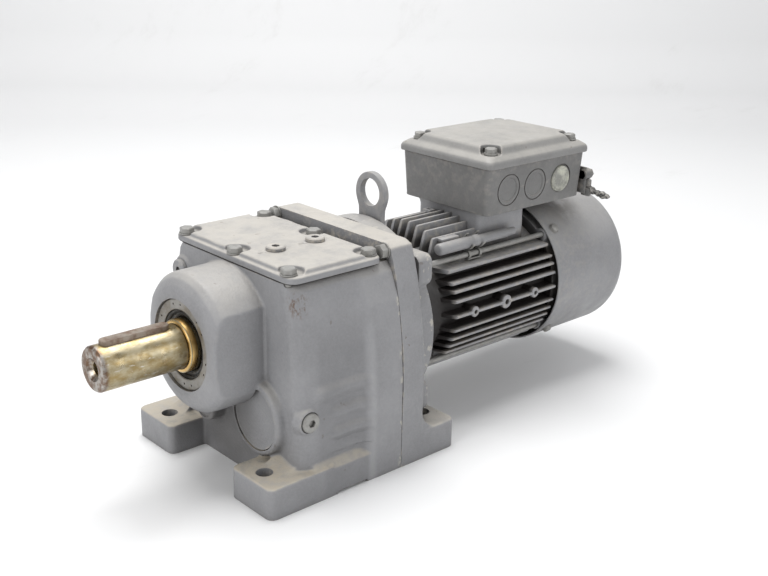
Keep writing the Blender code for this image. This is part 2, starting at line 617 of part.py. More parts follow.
def make_stator():
    """Finned stator housing with the terminal box pedestal and bottom pads, and the wound core inside."""
    housing = prism("stator_housing", fin_outline(), *FIN_X, PAINT)
    barrel = cylinder("barrel", BARREL_R - 0.4, 60, (FLANGE_X1 + GAP + 30, 0, MOTOR_Z), 'X', None, 28)
    bosses = [cylinder(f"fin_boss_{i}", radius, 20, (x, -56, MOTOR_Z - 0.5), 'Y', None, 12)
              for i, (x, radius) in enumerate(((329, 4.6), (369.5, 6.2), (408, 4.6)))]
    pads = []
    for i, (x0, x1) in enumerate(((304, 358), (362, 418), (421, 431))):
        for side in (-1, 1):
            low, high = sorted((side * 33, side * 41.5))
            pads.append(box(f"bottom_pad_{i}_{side}", (x0, low, MOTOR_Z - 46), (x1, high, MOTOR_Z - 36), None))
    pedestal = slab("pedestal", rounded(357, 418, -38.5, 38.5, 5, 2), 122, BOX_Z[0] - GAP, None)
    join(housing, barrel, pedestal, *bosses, *pads)
    core_room = cylinder("core_room", 45.2, 200, (350, 0, MOTOR_Z), 'X', None, 32)
    duct = box("pedestal_duct", (367.5, -26, 138), (407.5, 26, 190), None)
    drills = [cylinder(f"fin_drill_{i}", 2.2, 12, (x, -66, MOTOR_Z - 0.5), 'Y', None, 8)
              for i, x in enumerate((329, 369.5, 408))]
    cut(housing, core_room, duct, *drills)
    turned("stator_core", [(290, 32), (290, 42), (310, 42), (310, 44.5), (400, 44.5), (400, 42), (420, 42),
                           (420, 32), (400, 30.5), (310, 30.5)], COPPER, z=MOTOR_Z, segments=INNER_SEGMENTS)


def make_rotor():
    """Motor shaft with rotor pack, pinion, brake disc and fan: everything that turns at motor speed."""
    axis = axis_empty("motor_axis", 0, MOTOR_Z)
    rotor = turned("rotor", [(186, 0), (186, 9), (206, 9), (206, 12), (256.4, 12), (256.4, 12.5),
                             (275, 12.5), (275, 15), (312, 15), (312, 29.8), (398, 29.8), (398, 15),
                             (436, 15), (436, 12.5), (450, 12.5), (450, 11), (495, 11), (495, 8),
                             (528, 8), (528, 0)], STEEL, parent=axis, segments=INNER_SEGMENTS)
    # the wheel has a tooth on the line of centres, so the pinion has a space there
    towards = mesh_turn(LAY_Y, LAY_Z) + math.pi + math.pi / MOTOR_TEETH
    join(rotor, prism("motor_pinion", gear_outline(INPUT_MODULE, MOTOR_TEETH, towards), 184, 204.5, None,
                      parent=axis))
    turned("brake_disc", [(450.5, 11.4), (450.5, 30), (449.6, 30), (449.6, 46), (457.0, 46), (457.0, 30),
                          (462, 20), (462, 11.4)], FRICTION, parent=axis, segments=INNER_SEGMENTS)
    fan = turned("fan", [(500, 8.4), (500, 16), (506, 20), (509, 60), (511, 60), (511, 20), (522, 14),
                         (522, 8.4)], PLASTIC, parent=axis, segments=INNER_SEGMENTS)
    for i in range(8):
        blade = box(f"fan_blade_{i}", (-8, -1, -18), (8, 1, 18), None, parent=axis)
        angle = 2 * math.pi * i / 8
        blade.location = Vector((501.5, -40 * math.sin(angle), 40 * math.cos(angle))) * MM
        blade.rotation_euler.x = angle
        join(fan, blade)
    bearing("motor_bearing_front", 262.5, 274.5, 12.5, 26, 0, MOTOR_Z)
    bearing("motor_bearing_rear", 437, 448, 12.5, 22, 0, MOTOR_Z)
    return axis


def make_brake():
    """Rear end shield with the tie rods screwed into the flange, and the spring brake behind it."""
    x0 = FIN_X[1] + GAP
    shield = turned("rear_end_shield", [(x0, 22.3), (x0, 62), (449, 62), (449, 22.3)], PAINT, z=MOTOR_Z,
                    segments=32)
    for i, (sy, sz) in enumerate(CORNERS):
        y, z = sy * TIE_Y, MOTOR_Z + sz * TIE_Y
        lug = cylinder(f"shield_lug_{i}", 7.0, 9.4, (x0 + 5.2, y * 0.96, MOTOR_Z + sz * TIE_Y * 0.96),
                       'X', None, 12)
        join(shield, lug)
        cut(shield, cylinder(f"tie_hole_{i}", 2.6 + GAP, 40, (x0 + 5, y, z), 'X', None, 8))
        rod = cylinder(f"tie_rod_{i + 1}", 2.5, 196, (356, y, z), 'X', ZINC, 10)
        nut = cylinder(f"tie_nut_{i}", 4.4, 3.5, (x0 + 14.85, y, z), 'X', None, 6)
        join(rod, nut)

    coil = turned("brake_coil", [(464.9, 34), (464.9, 58), (490, 58), (490, 14), (472, 14), (472, 34)],
                  STEEL, z=MOTOR_Z, segments=INNER_SEGMENTS)
    for i in range(3):
        angle = math.radians(90 + 120 * i)
        y, z = 54.6 * math.cos(angle), MOTOR_Z + 54.6 * math.sin(angle)
        join(coil, cylinder(f"coil_post_{i}", 2.8, 20, (459.3, y, z), 'X', None, 12))
    axis = axis_empty("brake_axis", 0, MOTOR_Z)
    turned("brake_pressure_plate", [(457.3, 33), (457.3, 50), (464.0, 50), (464.0, 33)], STEEL,
           parent=axis, segments=INNER_SEGMENTS)
    return shield


def make_fan_cover():
    """Pressed steel fan cover with a slotted back and four radial screws."""
    wall = 1.3
    dome = 19.0
    outer = [(LENGTH, 0)] + arc(LENGTH - dome, COVER_R - dome, dome, 0, 90, 4) + [(COVER_X0, COVER_R)]
    inner = [(COVER_X0, COVER_R - wall)] + arc(LENGTH - dome, COVER_R - dome, dome - wall, 90, 0, 4)
    cover = turned("fan_cover", outer + inner + [(LENGTH - wall, 0)], PAINT, z=MOTOR_Z)
    hub = axis_empty("fan_cover_axis", 0, MOTOR_Z)
    for i in range(10):
        slot = box(f"grille_slot_{i}", (-6, -2.8, -15), (6, 2.8, 15), None, parent=hub)
        angle = 2 * math.pi * (i + 0.4) / 10
        slot.location = Vector((LENGTH, -34 * math.sin(angle), 34 * math.cos(angle))) * MM
        slot.rotation_euler.x = angle
        cut(cover, slot)
    for i, (sy, sz) in enumerate(CORNERS):
        out = Vector((0, sy, sz)).normalized()
        seat = Vector((448, 0, 0)) + out * (COVER_R + 1.5 + GAP)
        screw = cylinder(f"fan_cover_screw_{i + 1}", 5.2, 3.0, seat, 'Z', ZINC, 12, hub)
        screw.rotation_euler.x = -math.atan2(sy, sz)
    return cover


def make_terminal_box():
    """Cast terminal box with knock-outs, its lid and screws, terminal block, entry plug and earth clamp."""
    def outline(inset, radius):
        return rounded(BOX_X[0] + inset, BOX_X[1] - inset, -BOX_HALF + inset, BOX_HALF - inset, radius, 3)

    case = tower("terminal_box", [(BOX_Z[0], outline(2.4, 6)), (BOX_Z[0] + 2, outline(1.6, 6)),
                                  (BOX_Z[1], outline(0, 6))], PAINT)
    room = box("terminal_room", (354, -50, 182), (476, 50, 240), None)
    window = box("terminal_window", (367, -26, 150), (408, 26, 190), None)
    cut(case, room, window)
    corner_posts = [(x, y) for x in LID_SCREW_X for y in (-LID_SCREW_Y, LID_SCREW_Y)]
    for i, (x, y) in enumerate(corner_posts):
        join(case, cylinder(f"lid_post_{i}", 6.5, 39.5, (x, y, 200.5), 'Z', None, 10))
        cut(case, cylinder(f"lid_post_hole_{i}", 3.0, 24, (x, y, 212), 'Z', None, 8))
    for i, x in enumerate(KNOCKOUT_X):
        for side in (-1, 1):
            y = side * (BOX_HALF - 0.6)
            if side < 0 and i == 2:
                cut(case, cylinder("entry_bore", 12.6, 20, (x, y, KNOCKOUT_Z), 'Y', None, 24))
                continue
            groove = cylinder(f"knockout_{i}_{side}", 14.6, 2.2, (x, y + side * 1.3, KNOCKOUT_Z), 'Y', None, 20)
            core = cylinder(f"knockout_core_{i}_{side}", 13.4, 4, (x, y, KNOCKOUT_Z), 'Y', None, 20)
            cut(groove, core)
            cut(case, groove)
    plug = cylinder("entry_plug", 12.2, 6, (KNOCKOUT_X[2], -BOX_HALF + 3.4, KNOCKOUT_Z), 'Y', BRIGHT, 24)
    cut(plug, cylinder("entry_plug_hollow", 9.5, 5, (KNOCKOUT_X[2], -BOX_HALF + 6.4, KNOCKOUT_Z), 'Y',
                       None, 24))

    def lid_outline(inset, radius):
        return rounded(LID_X[0] + inset, LID_X[1] - inset, -LID_HALF + inset, LID_HALF - inset, radius, 3)

    lid = tower("terminal_lid", [
        (BOX_Z[1] + GAP, lid_outline(0.8, 8)), (BOX_Z[1] + 1.6, lid_outline(0, 8)),
        (BOX_Z[1] + 5, lid_outline(0.6, 8)), (BOX_Z[1] + 9, lid_outline(3.6, 8)),
        (LID_TOP - 2.5, lid_outline(8.5, 7)), (LID_TOP - 0.7, lid_outline(10.4, 7)),
        (LID_TOP, lid_outline(12.4, 6)),
    ], PAINT_LID)
    hollow = box("lid_hollow", (362, -36, 210), (468.4, 36, LID_TOP - 3), None)
    cut(lid, hollow)
    for i, (x, y) in enumerate(corner_posts):
        notch = cylinder(f"lid_notch_{i}", 8.5, 20, (x, y, LID_SEAT + 10), 'Z', None, 12)
        hole = cylinder(f"lid_hole_{i}", 2.9, 40, (x, y, 225), 'Z', None, 8)
        cut(lid, notch, hole)
        hex_screw(f"lid_screw_{i + 1}", (x, y, LID_SEAT + GAP), 'Z', 10.0, 5.0, 2.6, 22, ZINC)

    block = box("terminal_block", (412, -22, 182 + GAP), (462, 22, 196), PLASTIC, 1.0)
    studs = [cylinder(f"terminal_stud_{i}", 2.5, 16, (422 + 15 * (i % 3), -9 + 18 * (i // 3), 200), 'Z', None, 8)
             for i in range(6)]
    join(block, *studs)
    clamp = box("earth_clamp", (BOX_X[1] + GAP, -57, 187), (BOX_X[1] + 8, -41, 203), PAINT, 1.0)
    clamp_screw = cylinder("clamp_screw", 4.6, 7, (BOX_X[1] + 10, -48, 196), 'X', None, 6)
    join(clamp, clamp_screw)
    return case


def make_lever():
    """Loose brake-release lever, stored in a clip that holds it above the near upper tie rod."""
    axis = axis_empty("lever_axis", LEVER_Y, LEVER_Z)
    lever = turned("release_lever", [(300, 0), (300, 4.0), (301.2, 5.2), (344, 5.2), (349, 4.2), (388, 4.2),
                                     (388, 3.5), (396.5, 3.5), (397.5, 2.6), (397.5, 0)], ZINC,
                   parent=axis, segments=12)
    clip = box("lever_clip", (336, -51, 140.5), (352, -37, 154.2), ZINC, 0.8)
    for i, (x0, x1) in enumerate(((336, 339), (349, 352))):
        ear = prism(f"clip_ear_{i}", [(-37, 152), (-37, 158), (-41.5, 165), (-46, 165), (-52.6, 158.6),
                                      (-52.6, 152)], x0, x1, None)
        join(clip, ear)
    path = [(LEVER_Y + 6.2 * math.cos(a), LEVER_Z + 6.2 * math.sin(a))
            for a in (math.radians(225 + 180 * i / 10) for i in range(11))]
    lift = Vector(LIFT) * 30
    mouth = path + [(path[-1][0] + lift.y, path[-1][1] + lift.z), (path[0][0] + lift.y, path[0][1] + lift.z)]
    seat = prism("clip_seat", mouth, 330, 360, None)
    middle = box("clip_middle", (339, -60, 150), (349, -30, 180), None)
    tie = cylinder("clip_tie_hole", 2.6 + GAP, 40, (344, -TIE_Y, MOTOR_Z + TIE_Y), 'X', None, 8)
    cut(clip, seat, middle, tie)
    return lever


def main():
    make_gearcase()
    make_rear_plate()
    make_cover()
    make_small_parts()
    make_output()
    make_lay_shaft()
    make_motor_flange()
    make_lifting_eye()
    make_stator()
    make_rotor()
    make_brake()
    make_fan_cover()
    make_terminal_box()
    make_lever()


main()
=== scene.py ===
"""Looks of the foot-mounted inline gearmotor: castings, painted sheet metal, screws, oil film and dust.

Lengths in the tables and calls below are millimetres. x runs from the free end of the output shaft (0)
to the back of the fan cover (545), y is zero on the shaft axis and z is zero on the floor.
"""
import math

import bmesh
import bpy
from mathutils import Matrix, Vector


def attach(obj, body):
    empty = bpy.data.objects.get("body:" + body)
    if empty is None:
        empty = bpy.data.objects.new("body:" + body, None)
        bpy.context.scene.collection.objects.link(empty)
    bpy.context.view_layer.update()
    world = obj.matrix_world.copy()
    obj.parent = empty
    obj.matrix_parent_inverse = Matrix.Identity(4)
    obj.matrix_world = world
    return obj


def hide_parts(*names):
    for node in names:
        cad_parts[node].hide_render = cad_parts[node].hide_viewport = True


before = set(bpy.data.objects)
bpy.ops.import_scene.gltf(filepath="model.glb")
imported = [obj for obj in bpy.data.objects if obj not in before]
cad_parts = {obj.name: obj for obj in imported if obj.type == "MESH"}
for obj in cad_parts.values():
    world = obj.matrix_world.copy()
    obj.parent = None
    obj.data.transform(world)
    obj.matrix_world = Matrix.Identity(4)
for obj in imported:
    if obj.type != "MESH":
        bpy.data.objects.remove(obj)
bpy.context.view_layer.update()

MM = 0.001
LENGTH = 545.0
HALF = LENGTH / 2

OUTPUT_Z, MOTOR_Z = 115.0, 101.0
LAY_Y, LAY_Z = -39.66, 57.32
CAP_2 = (23.0, 48.0)      # the small closing cap, across and up
SEAM_X, PLATE_X1 = 217.0, 241.0
TIE_Y = 63.5 * math.sqrt(0.5)
CORNERS = ((-1, 1), (1, 1), (-1, -1), (1, -1))
OUTPUT_AXIS, MOTOR_AXIS, LAY_AXIS = (0, OUTPUT_Z), (0, MOTOR_Z), (LAY_Y, LAY_Z)
TIE_SPOTS = [(sy * TIE_Y, MOTOR_Z + sz * TIE_Y) for sy, sz in CORNERS]
COVER_BOLTS = [(x, y) for x in (125.0, 202.0) for y in (-67.5, 0.0, 67.5)]
FLANGE_SCREWS = [(side * 69.5, 178.9) for side in (-1, 1)]
LID_SCREWS = [(x, y) for x in (362.0, 468.4) for y in (-44.0, 44.0)]
HOLE_X, HOLE_Y = (100.5, 265.5), 67.1
FOOT_INNER, FOOT_OUTER, FOOT_HOLE_R = 42.4, 94.4, 6.75
FRONT_PLUG, LEVEL_PORT = (64, 150), (128, 66)
TOP_PLUG_X, TOP_PLUG_Y = (147.0, 185.5), -22.6
PLUG_BORE_R, COVER_HOLE_R = 6.4, 4.6
ENTRY_X, ENTRY_Z = (377.4, 412.5, 447.7), 199
PLUGGED_X = ENTRY_X[-1]
WALL_LEAN = 0.052         # how far the box's long walls lean out for each millimetre up
BELOW = -6                # castings start below the floor and are cut flat at it
CAST_ANGLE = 38.0         # degrees over which an edge of a casting stays sharp


# ---------------------------------------------------------------- mesh helpers

def finish(name, bm, smooth_angle=35.0):
    """Turn a bmesh in millimetres into an object in the row frame."""
    bmesh.ops.recalc_face_normals(bm, faces=bm.faces)
    bmesh.ops.transform(bm, matrix=Matrix.Scale(MM, 4) @ Matrix.Translation((-HALF, 0, 0)), verts=bm.verts)
    mesh = bpy.data.meshes.new(name)
    bm.to_mesh(mesh)
    bm.free()
    made = bpy.data.objects.new(name, mesh)
    bpy.context.scene.collection.objects.link(made)
    shade(made, smooth_angle)
    return made


def skin(rings):
    """A bmesh skinned over rings of equal point count, capped at both ends."""
    bm = bmesh.new()
    layers = [[bm.verts.new(point) for point in ring] for ring in rings]
    count = len(layers[0])
    for a, b in zip(layers, layers[1:]):
        for i in range(count):
            j = (i + 1) % count
            bm.faces.new((a[i], a[j], b[j], b[i]))
    bm.faces.new(layers[0])
    bm.faces.new(layers[-1][::-1])
    return bm


def loft(name, sections):
    """Skin between outlines across X; each section is (x, [(y, z), ...])."""
    return finish(name, skin([[(x, y, z) for y, z in outline] for x, outline in sections]))


def tower(name, levels):
    """Skin between outlines across Z; each level is (z, [(x, y), ...])."""
    return finish(name, skin([[(x, y, z) for x, y in outline] for z, outline in levels]))


def turned(name, profile, centre=(0.0, 0.0), segments=96, axis='X', at=0.0, angle=40.0):
    """Revolve (along, radius) points about a line; a profile off the axis at both ends makes a ring.

    centre holds the two coordinates across the axis, and at shifts the profile along it.
    """
    ring = profile[0][1] > 0 or profile[-1][1] > 0
    points = profile + profile[:1] if ring else profile
    bm = bmesh.new()
    rows = []
    for along, radius in points:
        if radius < 1e-6:
            rows.append([bm.verts.new(place(axis, at + along, 0.0, 0.0, centre))])
            continue
        row = []
        for i in range(segments):
            turn = 2 * math.pi * i / segments
            row.append(bm.verts.new(place(axis, at + along, radius * math.cos(turn),
                                          radius * math.sin(turn), centre)))
        rows.append(row)
    for a, b in zip(rows, rows[1:]):
        for i in range(segments):
            j = (i + 1) % segments
            corners = [a[i % len(a)], a[j % len(a)], b[j % len(b)], b[i % len(b)]]
            unique = list(dict.fromkeys(corners))
            if len(unique) > 2:
                bm.faces.new(unique)
    bmesh.ops.remove_doubles(bm, verts=bm.verts, dist=0.0001)
    return finish(name, bm, angle)


def place(axis, along, across, up, centre):
    """Point at `along` on an axis line through centre, offset by (across, up)."""
    if axis == 'X':
        return (along, centre[0] + across, centre[1] + up)
    if axis == 'Y':
        return (centre[0] + across, along, centre[1] + up)
    return (centre[0] + across, centre[1] + up, along)


def block(name, low, high, bevel=0.0):
    """Box between two corners, with its edges rounded when bevel is given."""
    bm = bmesh.new()
    bmesh.ops.create_cube(bm, size=1.0)
    size = Vector(high) - Vector(low)
    bmesh.ops.scale(bm, vec=size, verts=bm.verts)
    if bevel:
        bmesh.ops.bevel(bm, geom=bm.edges[:], offset=bevel, segments=2, affect='EDGES', profile=0.5)
    bmesh.ops.translate(bm, vec=(Vector(high) + Vector(low)) / 2, verts=bm.verts)
    return finish(name, bm)


def arc(cx, cy, radius, start, end, steps):
    """Points of an arc, angles in degrees."""
    angles = [math.radians(start + (end - start) * i / steps) for i in range(steps + 1)]
    return [(cx + radius * math.cos(a), cy + radius * math.sin(a)) for a in angles]


def rounded(x0, x1, y0, y1, radius, steps=8):
    """Outline of a rectangle with round corners."""
    return (arc(x1 - radius, y1 - radius, radius, 0, 90, steps)
            + arc(x0 + radius, y1 - radius, radius, 90, 180, steps)
            + arc(x0 + radius, y0 + radius, radius, 180, 270, steps)
            + arc(x1 - radius, y0 + radius, radius, 270, 360, steps))


def shade(obj, angle):
    """Smooth shading, with edges over angle degrees left sharp."""
    obj.data.shade_smooth()
    obj.data.set_sharp_from_angle(angle=math.radians(angle))


def solid(name, profile, centre, segments, axis='X'):
    """Revolve a profile that is closed onto the axis at both ends."""
    return turned(name, [(profile[0][0], 0), *profile, (profile[-1][0], 0)], centre, segments, axis)


def pin(name, start, end, radius, centre, segments, axis='X'):
    """Plain cylinder along an axis line, for holes and shanks."""
    return solid(name, [(start, radius), (end, radius)], centre, segments, axis)


def apply_modifiers(obj):
    """Freeze the modifiers into the mesh."""
    depsgraph = bpy.context.evaluated_depsgraph_get()
    mesh = bpy.data.meshes.new_from_object(obj.evaluated_get(depsgraph))
    obj.modifiers.clear()
    obj.data = mesh


def merge(name, shapes, angle=None):
    """One object holding the meshes of several; their shells may run through each other."""
    bm = bmesh.new()
    for shape in shapes:
        bm.from_mesh(shape.data)
        bpy.data.objects.remove(shape)
    mesh = bpy.data.meshes.new(name)
    bm.to_mesh(mesh)
    bm.free()
    made = bpy.data.objects.new(name, mesh)
    bpy.context.scene.collection.objects.link(made)
    if angle:
        shade(made, angle)
    return made


def carve(obj, cutters, solver='MANIFOLD'):
    """Take the cutters out of obj one after another."""
    for cutter in cutters:
        step = obj.modifiers.new("carve", 'BOOLEAN')
        step.operation = 'DIFFERENCE'
        step.solver = solver
        step.object = cutter
    apply_modifiers(obj)
    for cutter in cutters:
        bpy.data.objects.remove(cutter)
    return obj


def cast(name, shapes, voxel, rounds, hollows=(), machined=(), relief=None):
    """A casting: shapes run into each other, corners round off, and machined surfaces stay crisp.

    hollows are taken out before the corners are rounded, machined cutters after. relief gives the
    millimetres that a point moves along Y, for soft swellings on the sides.
    """
    piece = merge(name, shapes)
    fuse(piece, voxel)
    if hollows:
        carve(piece, hollows)
        fuse(piece, voxel)
    soften(piece, rounds)
    if relief:
        for vertex in piece.data.vertices:
            x, y, z = vertex.co / MM
            vertex.co.y += relief(x + HALF, y, z) * MM
    if machined:
        carve(piece, machined)
    shade(piece, CAST_ANGLE)
    return piece


def fuse(piece, voxel):
    """Join all shells of the piece into one skin of even cells, voxel millimetres across."""
    step = piece.modifiers.new("fuse", 'REMESH')
    step.mode = 'VOXEL'
    step.voxel_size = voxel * MM
    apply_modifiers(piece)


def soften(piece, rounds):
    """Round off the corners of a fused skin."""
    step = piece.modifiers.new("soften", 'SMOOTH')
    step.factor = 0.5
    step.iterations = rounds
    apply_modifiers(piece)


# ---------------------------------------------------------------- materials

class Nodes:
    """Short names for building a node tree."""

    def __init__(self, name):
        self.material = bpy.data.materials.new(name)
        self.material.use_nodes = True
        self.tree = self.material.node_tree
        self.shader = self.tree.nodes["Principled BSDF"]

    def add(self, kind, **values):
        node = self.tree.nodes.new(kind)
        for key, value in values.items():
            setattr(node, key, value)
        return node

    def link(self, source, target):
        self.tree.links.new(source, target)

    def coordinates(self, target):
        """Feed the object's own coordinates to a socket."""
        self.link(self.add("ShaderNodeTexCoord").outputs["Object"], target)

    def noise(self, scale, detail=4.0, roughness=0.6, stretch=(1, 1, 1)):
        """Noise over the object's own coordinates, scale in features per metre."""
        mapping = self.add("ShaderNodeMapping")
        mapping.inputs["Scale"].default_value = stretch
        self.coordinates(mapping.inputs["Vector"])
        node = self.add("ShaderNodeTexNoise")
        node.inputs["Scale"].default_value = scale
        node.inputs["Detail"].default_value = detail
        node.inputs["Roughness"].default_value = roughness
        self.link(mapping.outputs["Vector"], node.inputs["Vector"])
        return node.outputs["Fac"]

    def ramp(self, value, low, high, to_low=0.0, to_high=1.0):
        """Map value from low..high to to_low..to_high, held at the ends."""
        node = self.add("ShaderNodeMapRange", interpolation_type='SMOOTHSTEP')
        for key, number in (("From Min", low), ("From Max", high), ("To Min", to_low), ("To Max", to_high)):
            node.inputs[key].default_value = number
        self.link(value, node.inputs["Value"])
        return node.outputs["Result"]

    def maths(self, operation, a, b=0.0):
        node = self.add("ShaderNodeMath", operation=operation, use_clamp=True)
        for socket, value in zip(node.inputs, (a, b)):
            if isinstance(value, (int, float)):
                socket.default_value = value
            else:
                self.link(value, socket)
        return node.outputs["Value"]

    def mix(self, factor, a, b):
        """Blend colours a and b, either of which may be a plain tuple."""
        node = self.add("ShaderNodeMix", data_type='RGBA')
        self.link(factor, node.inputs["Factor"])
        for key, value in (("A", a), ("B", b)):
            socket = [s for s in node.inputs if s.name == key and s.type == 'RGBA'][0]
            if isinstance(value, tuple):
                socket.default_value = (*value, 1.0)
            else:
                self.link(value, socket)
        return [s for s in node.outputs if s.type == 'RGBA'][0]

    def over(self, colour, tint, *masks):
        """Lay a tint over a colour where all the masks overlap; a mask may be a plain number."""
        factor = masks[0]
        for mask in masks[1:]:
            factor = self.maths('MULTIPLY', factor, mask)
        return self.mix(factor, colour, tint)

    def coordinate(self, axis, low, high):
        """Ramp along one of the object's own axes; low and high are millimetres as in the tables."""
        shift = HALF if axis == 'X' else 0.0
        split = self.add("ShaderNodeSeparateXYZ")
        self.coordinates(split.inputs["Vector"])
        return self.ramp(split.outputs[axis], (low - shift) * MM, (high - shift) * MM)

    def near(self, spot, low, high):
        """1 within low millimetres of a spot on the object, fading to 0 at high."""
        distance = self.add("ShaderNodeVectorMath", operation='DISTANCE')
        self.coordinates(distance.inputs[0])
        distance.inputs[1].default_value = ((spot[0] - HALF) * MM, spot[1] * MM, spot[2] * MM)
        return self.ramp(distance.outputs["Value"], low * MM, high * MM, 1.0, 0.0)

    def from_motor_axis(self, low, high):
        """Ramp over the distance from the motor's axis, in millimetres."""
        flat = self.add("ShaderNodeVectorMath", operation='MULTIPLY')
        self.coordinates(flat.inputs[0])
        flat.inputs[1].default_value = (0.0, 1.0, 1.0)
        distance = self.add("ShaderNodeVectorMath", operation='DISTANCE')
        self.link(flat.outputs["Vector"], distance.inputs[0])
        distance.inputs[1].default_value = (0.0, 0.0, MOTOR_Z * MM)
        return self.ramp(distance.outputs["Value"], low * MM, high * MM)

    def upward(self):
        """How far the surface looks up, 0 to 1."""
        geometry = self.add("ShaderNodeNewGeometry")
        split = self.add("ShaderNodeSeparateXYZ")
        self.link(geometry.outputs["Normal"], split.inputs["Vector"])
        return self.ramp(split.outputs["Z"], 0.25, 0.95)

    def edges(self):
        """Convex edges, 0 to 1."""
        geometry = self.add("ShaderNodeNewGeometry")
        return self.ramp(geometry.outputs["Pointiness"], 0.51, 0.58)

    def shade_and_dirt_creases(self, distance):
        """Corners and gaps within distance metres, 0 to 1, from ambient occlusion: where shade falls and dirt
        gathers, used for painted shade and grime.
        """
        occlusion = self.add("ShaderNodeAmbientOcclusion", samples=4)
        occlusion.inputs["Distance"].default_value = distance
        return self.ramp(occlusion.outputs["AO"], 0.75, 0.2)

    def bump(self, height, strength, distance, below=None):
        """Normal raised by height, over the normal below when there is one."""
        node = self.add("ShaderNodeBump")
        node.inputs["Strength"].default_value = strength
        node.inputs["Distance"].default_value = distance
        self.link(height, node.inputs["Height"])
        if below is not None:
            self.link(below, node.inputs["Normal"])
        return node.outputs["Normal"]

    def feed(self, colour, roughness, normal):
        """Wire the three inputs of the shader that every finish varies."""
        for source, key in ((colour, "Base Color"), (roughness, "Roughness"), (normal, "Normal")):
            self.link(source, self.shader.inputs[key])


# Places on the gearcase and by the terminal box that carry a mark of their own: a scrape, painted shade under
# the hub, and painted shade on the fan cover under the terminal box.
SCUFF = (124.0, -82.0, 158.0)
UNDER_HUB = (112.0, 4.0, 38.0)
# painted shade on the fan cover under the terminal box
BOX_SHADE_SPOT = (474.0, -26.0, 165.0)

# the second colour darkens tight creases: grime and painted shade
DUST, CREASE_DIRT_AND_SHADE = (0.50, 0.47, 0.42), (0.065, 0.052, 0.042)
BARE, RUST_SPOT = (0.46, 0.42, 0.36), (0.10, 0.055, 0.03)


def times(colour, factor):
    return tuple(c * factor for c in colour)


def painted(name, base=(0.262, 0.262, 0.27), dust=0.5, grain=1.0, chips=0.5, grime_and_shade=0.55, rough=0.5,
            scuffed_and_shaded=False, fins=False, shade_spot=None):
    """Sprayed grey paint over a casting: orange peel, settled dust, worn edges, and painted shade with some
    grime in the corners and creases.
    """
    n = Nodes(name)
    colour = n.mix(n.ramp(n.noise(22, 5), 0.35, 0.68), times(base, 0.92), times(base, 1.07))
    colour = n.over(colour, times(base, 1.4), n.ramp(n.noise(420, 6, 0.7), 0.35, 0.7), 0.22)
    settled = n.ramp(n.noise(45, 6, 0.7), 0.25, 0.6, 0.45 * dust, dust)
    colour = n.over(colour, DUST, n.upward(), settled)
    # painted shade: the base colour darkened wherever occlusion within 7 cm finds a corner or overhang
    colour = n.over(colour, times(base, 0.35), n.shade_and_dirt_creases(0.07), 0.85 * grime_and_shade)
    # grime and painted shade in creases within 1 cm
    colour = n.over(colour, CREASE_DIRT_AND_SHADE, n.shade_and_dirt_creases(0.010), grime_and_shade)
    colour = n.over(colour, BARE, n.edges(), n.ramp(n.noise(150, 4), 0.45, 0.66, 0.0, chips))
    colour = n.over(colour, RUST_SPOT, n.ramp(n.noise(130, 3, 0.5), 0.72, 0.76), 0.75 * chips)
    # gearcase marks: scrape, flakes and silt, with painted shade and a painted highlight
    if scuffed_and_shaded:
        colour = scuffs_and_painted_shade(n, colour)
    # painted shade, mottled, round the given spot
    if shade_spot:
        shade_mottle = n.ramp(n.noise(40, 5), 0.4, 0.6)
        colour = n.over(colour, (0.10, 0.085, 0.07), n.near(shade_spot, 4, 36), shade_mottle, 0.6)
    # dust and painted shade between the fins
    if fins:
        colour = fin_gap_dust_and_shade(n, colour)
    sand = n.bump(n.noise(520, 4, 0.6), 0.5 * grain, 0.0007)
    n.feed(colour, n.ramp(n.noise(60, 4), 0.3, 0.7, rough - 0.08, rough + 0.12),
           n.bump(n.noise(110, 3, 0.5), 0.45 * grain, 0.0010, sand))
    return n.material


def scuffs_and_painted_shade(n, colour):
    """Marks of the gearcase: a scrape, a flaked seam and silt, with painted shade under the hub and on the
    recessed sides, and a painted highlight on the step behind them.
    """
    torn = n.ramp(n.noise(330, 5, 0.75, (1, 1, 0.45)), 0.5, 0.6)
    colour = n.over(colour, (0.13, 0.075, 0.045), n.near(SCUFF, 5, 14), torn, 0.85)
    flakes = n.ramp(n.noise(240, 5, 0.7, (0.5, 1, 0.35)), 0.56, 0.62)
    colour = n.over(colour, (0.52, 0.49, 0.43), n.coordinate('X', SEAM_X - 4, SEAM_X - 0.5), flakes, 0.7)
    # painted shade under the output hub
    colour = n.over(colour, (0.08, 0.074, 0.068), n.near(UNDER_HUB, 22, 66), 0.6)
    # painted shade over the recessed side panel
    colour = n.over(colour, (0.14, 0.14, 0.145), n.coordinate('X', 187, 180), n.coordinate('X', 134, 142),
                    n.coordinate('Z', 150, 105), 0.28)
    # painted highlight on the step between the recessed panel and the raised rear band
    colour = n.over(colour, (0.42, 0.42, 0.43), n.coordinate('X', 180, 185), n.coordinate('X', 193, 187),
                    n.coordinate('Z', 148, 110), 0.3)
    silt = n.ramp(n.noise(120, 5), 0.3, 0.6, 0.35, 0.9)
    return n.over(colour, (0.47, 0.42, 0.34), n.coordinate('Z', 37, 31), n.coordinate('Z', 21, 24), silt,
                  n.upward())


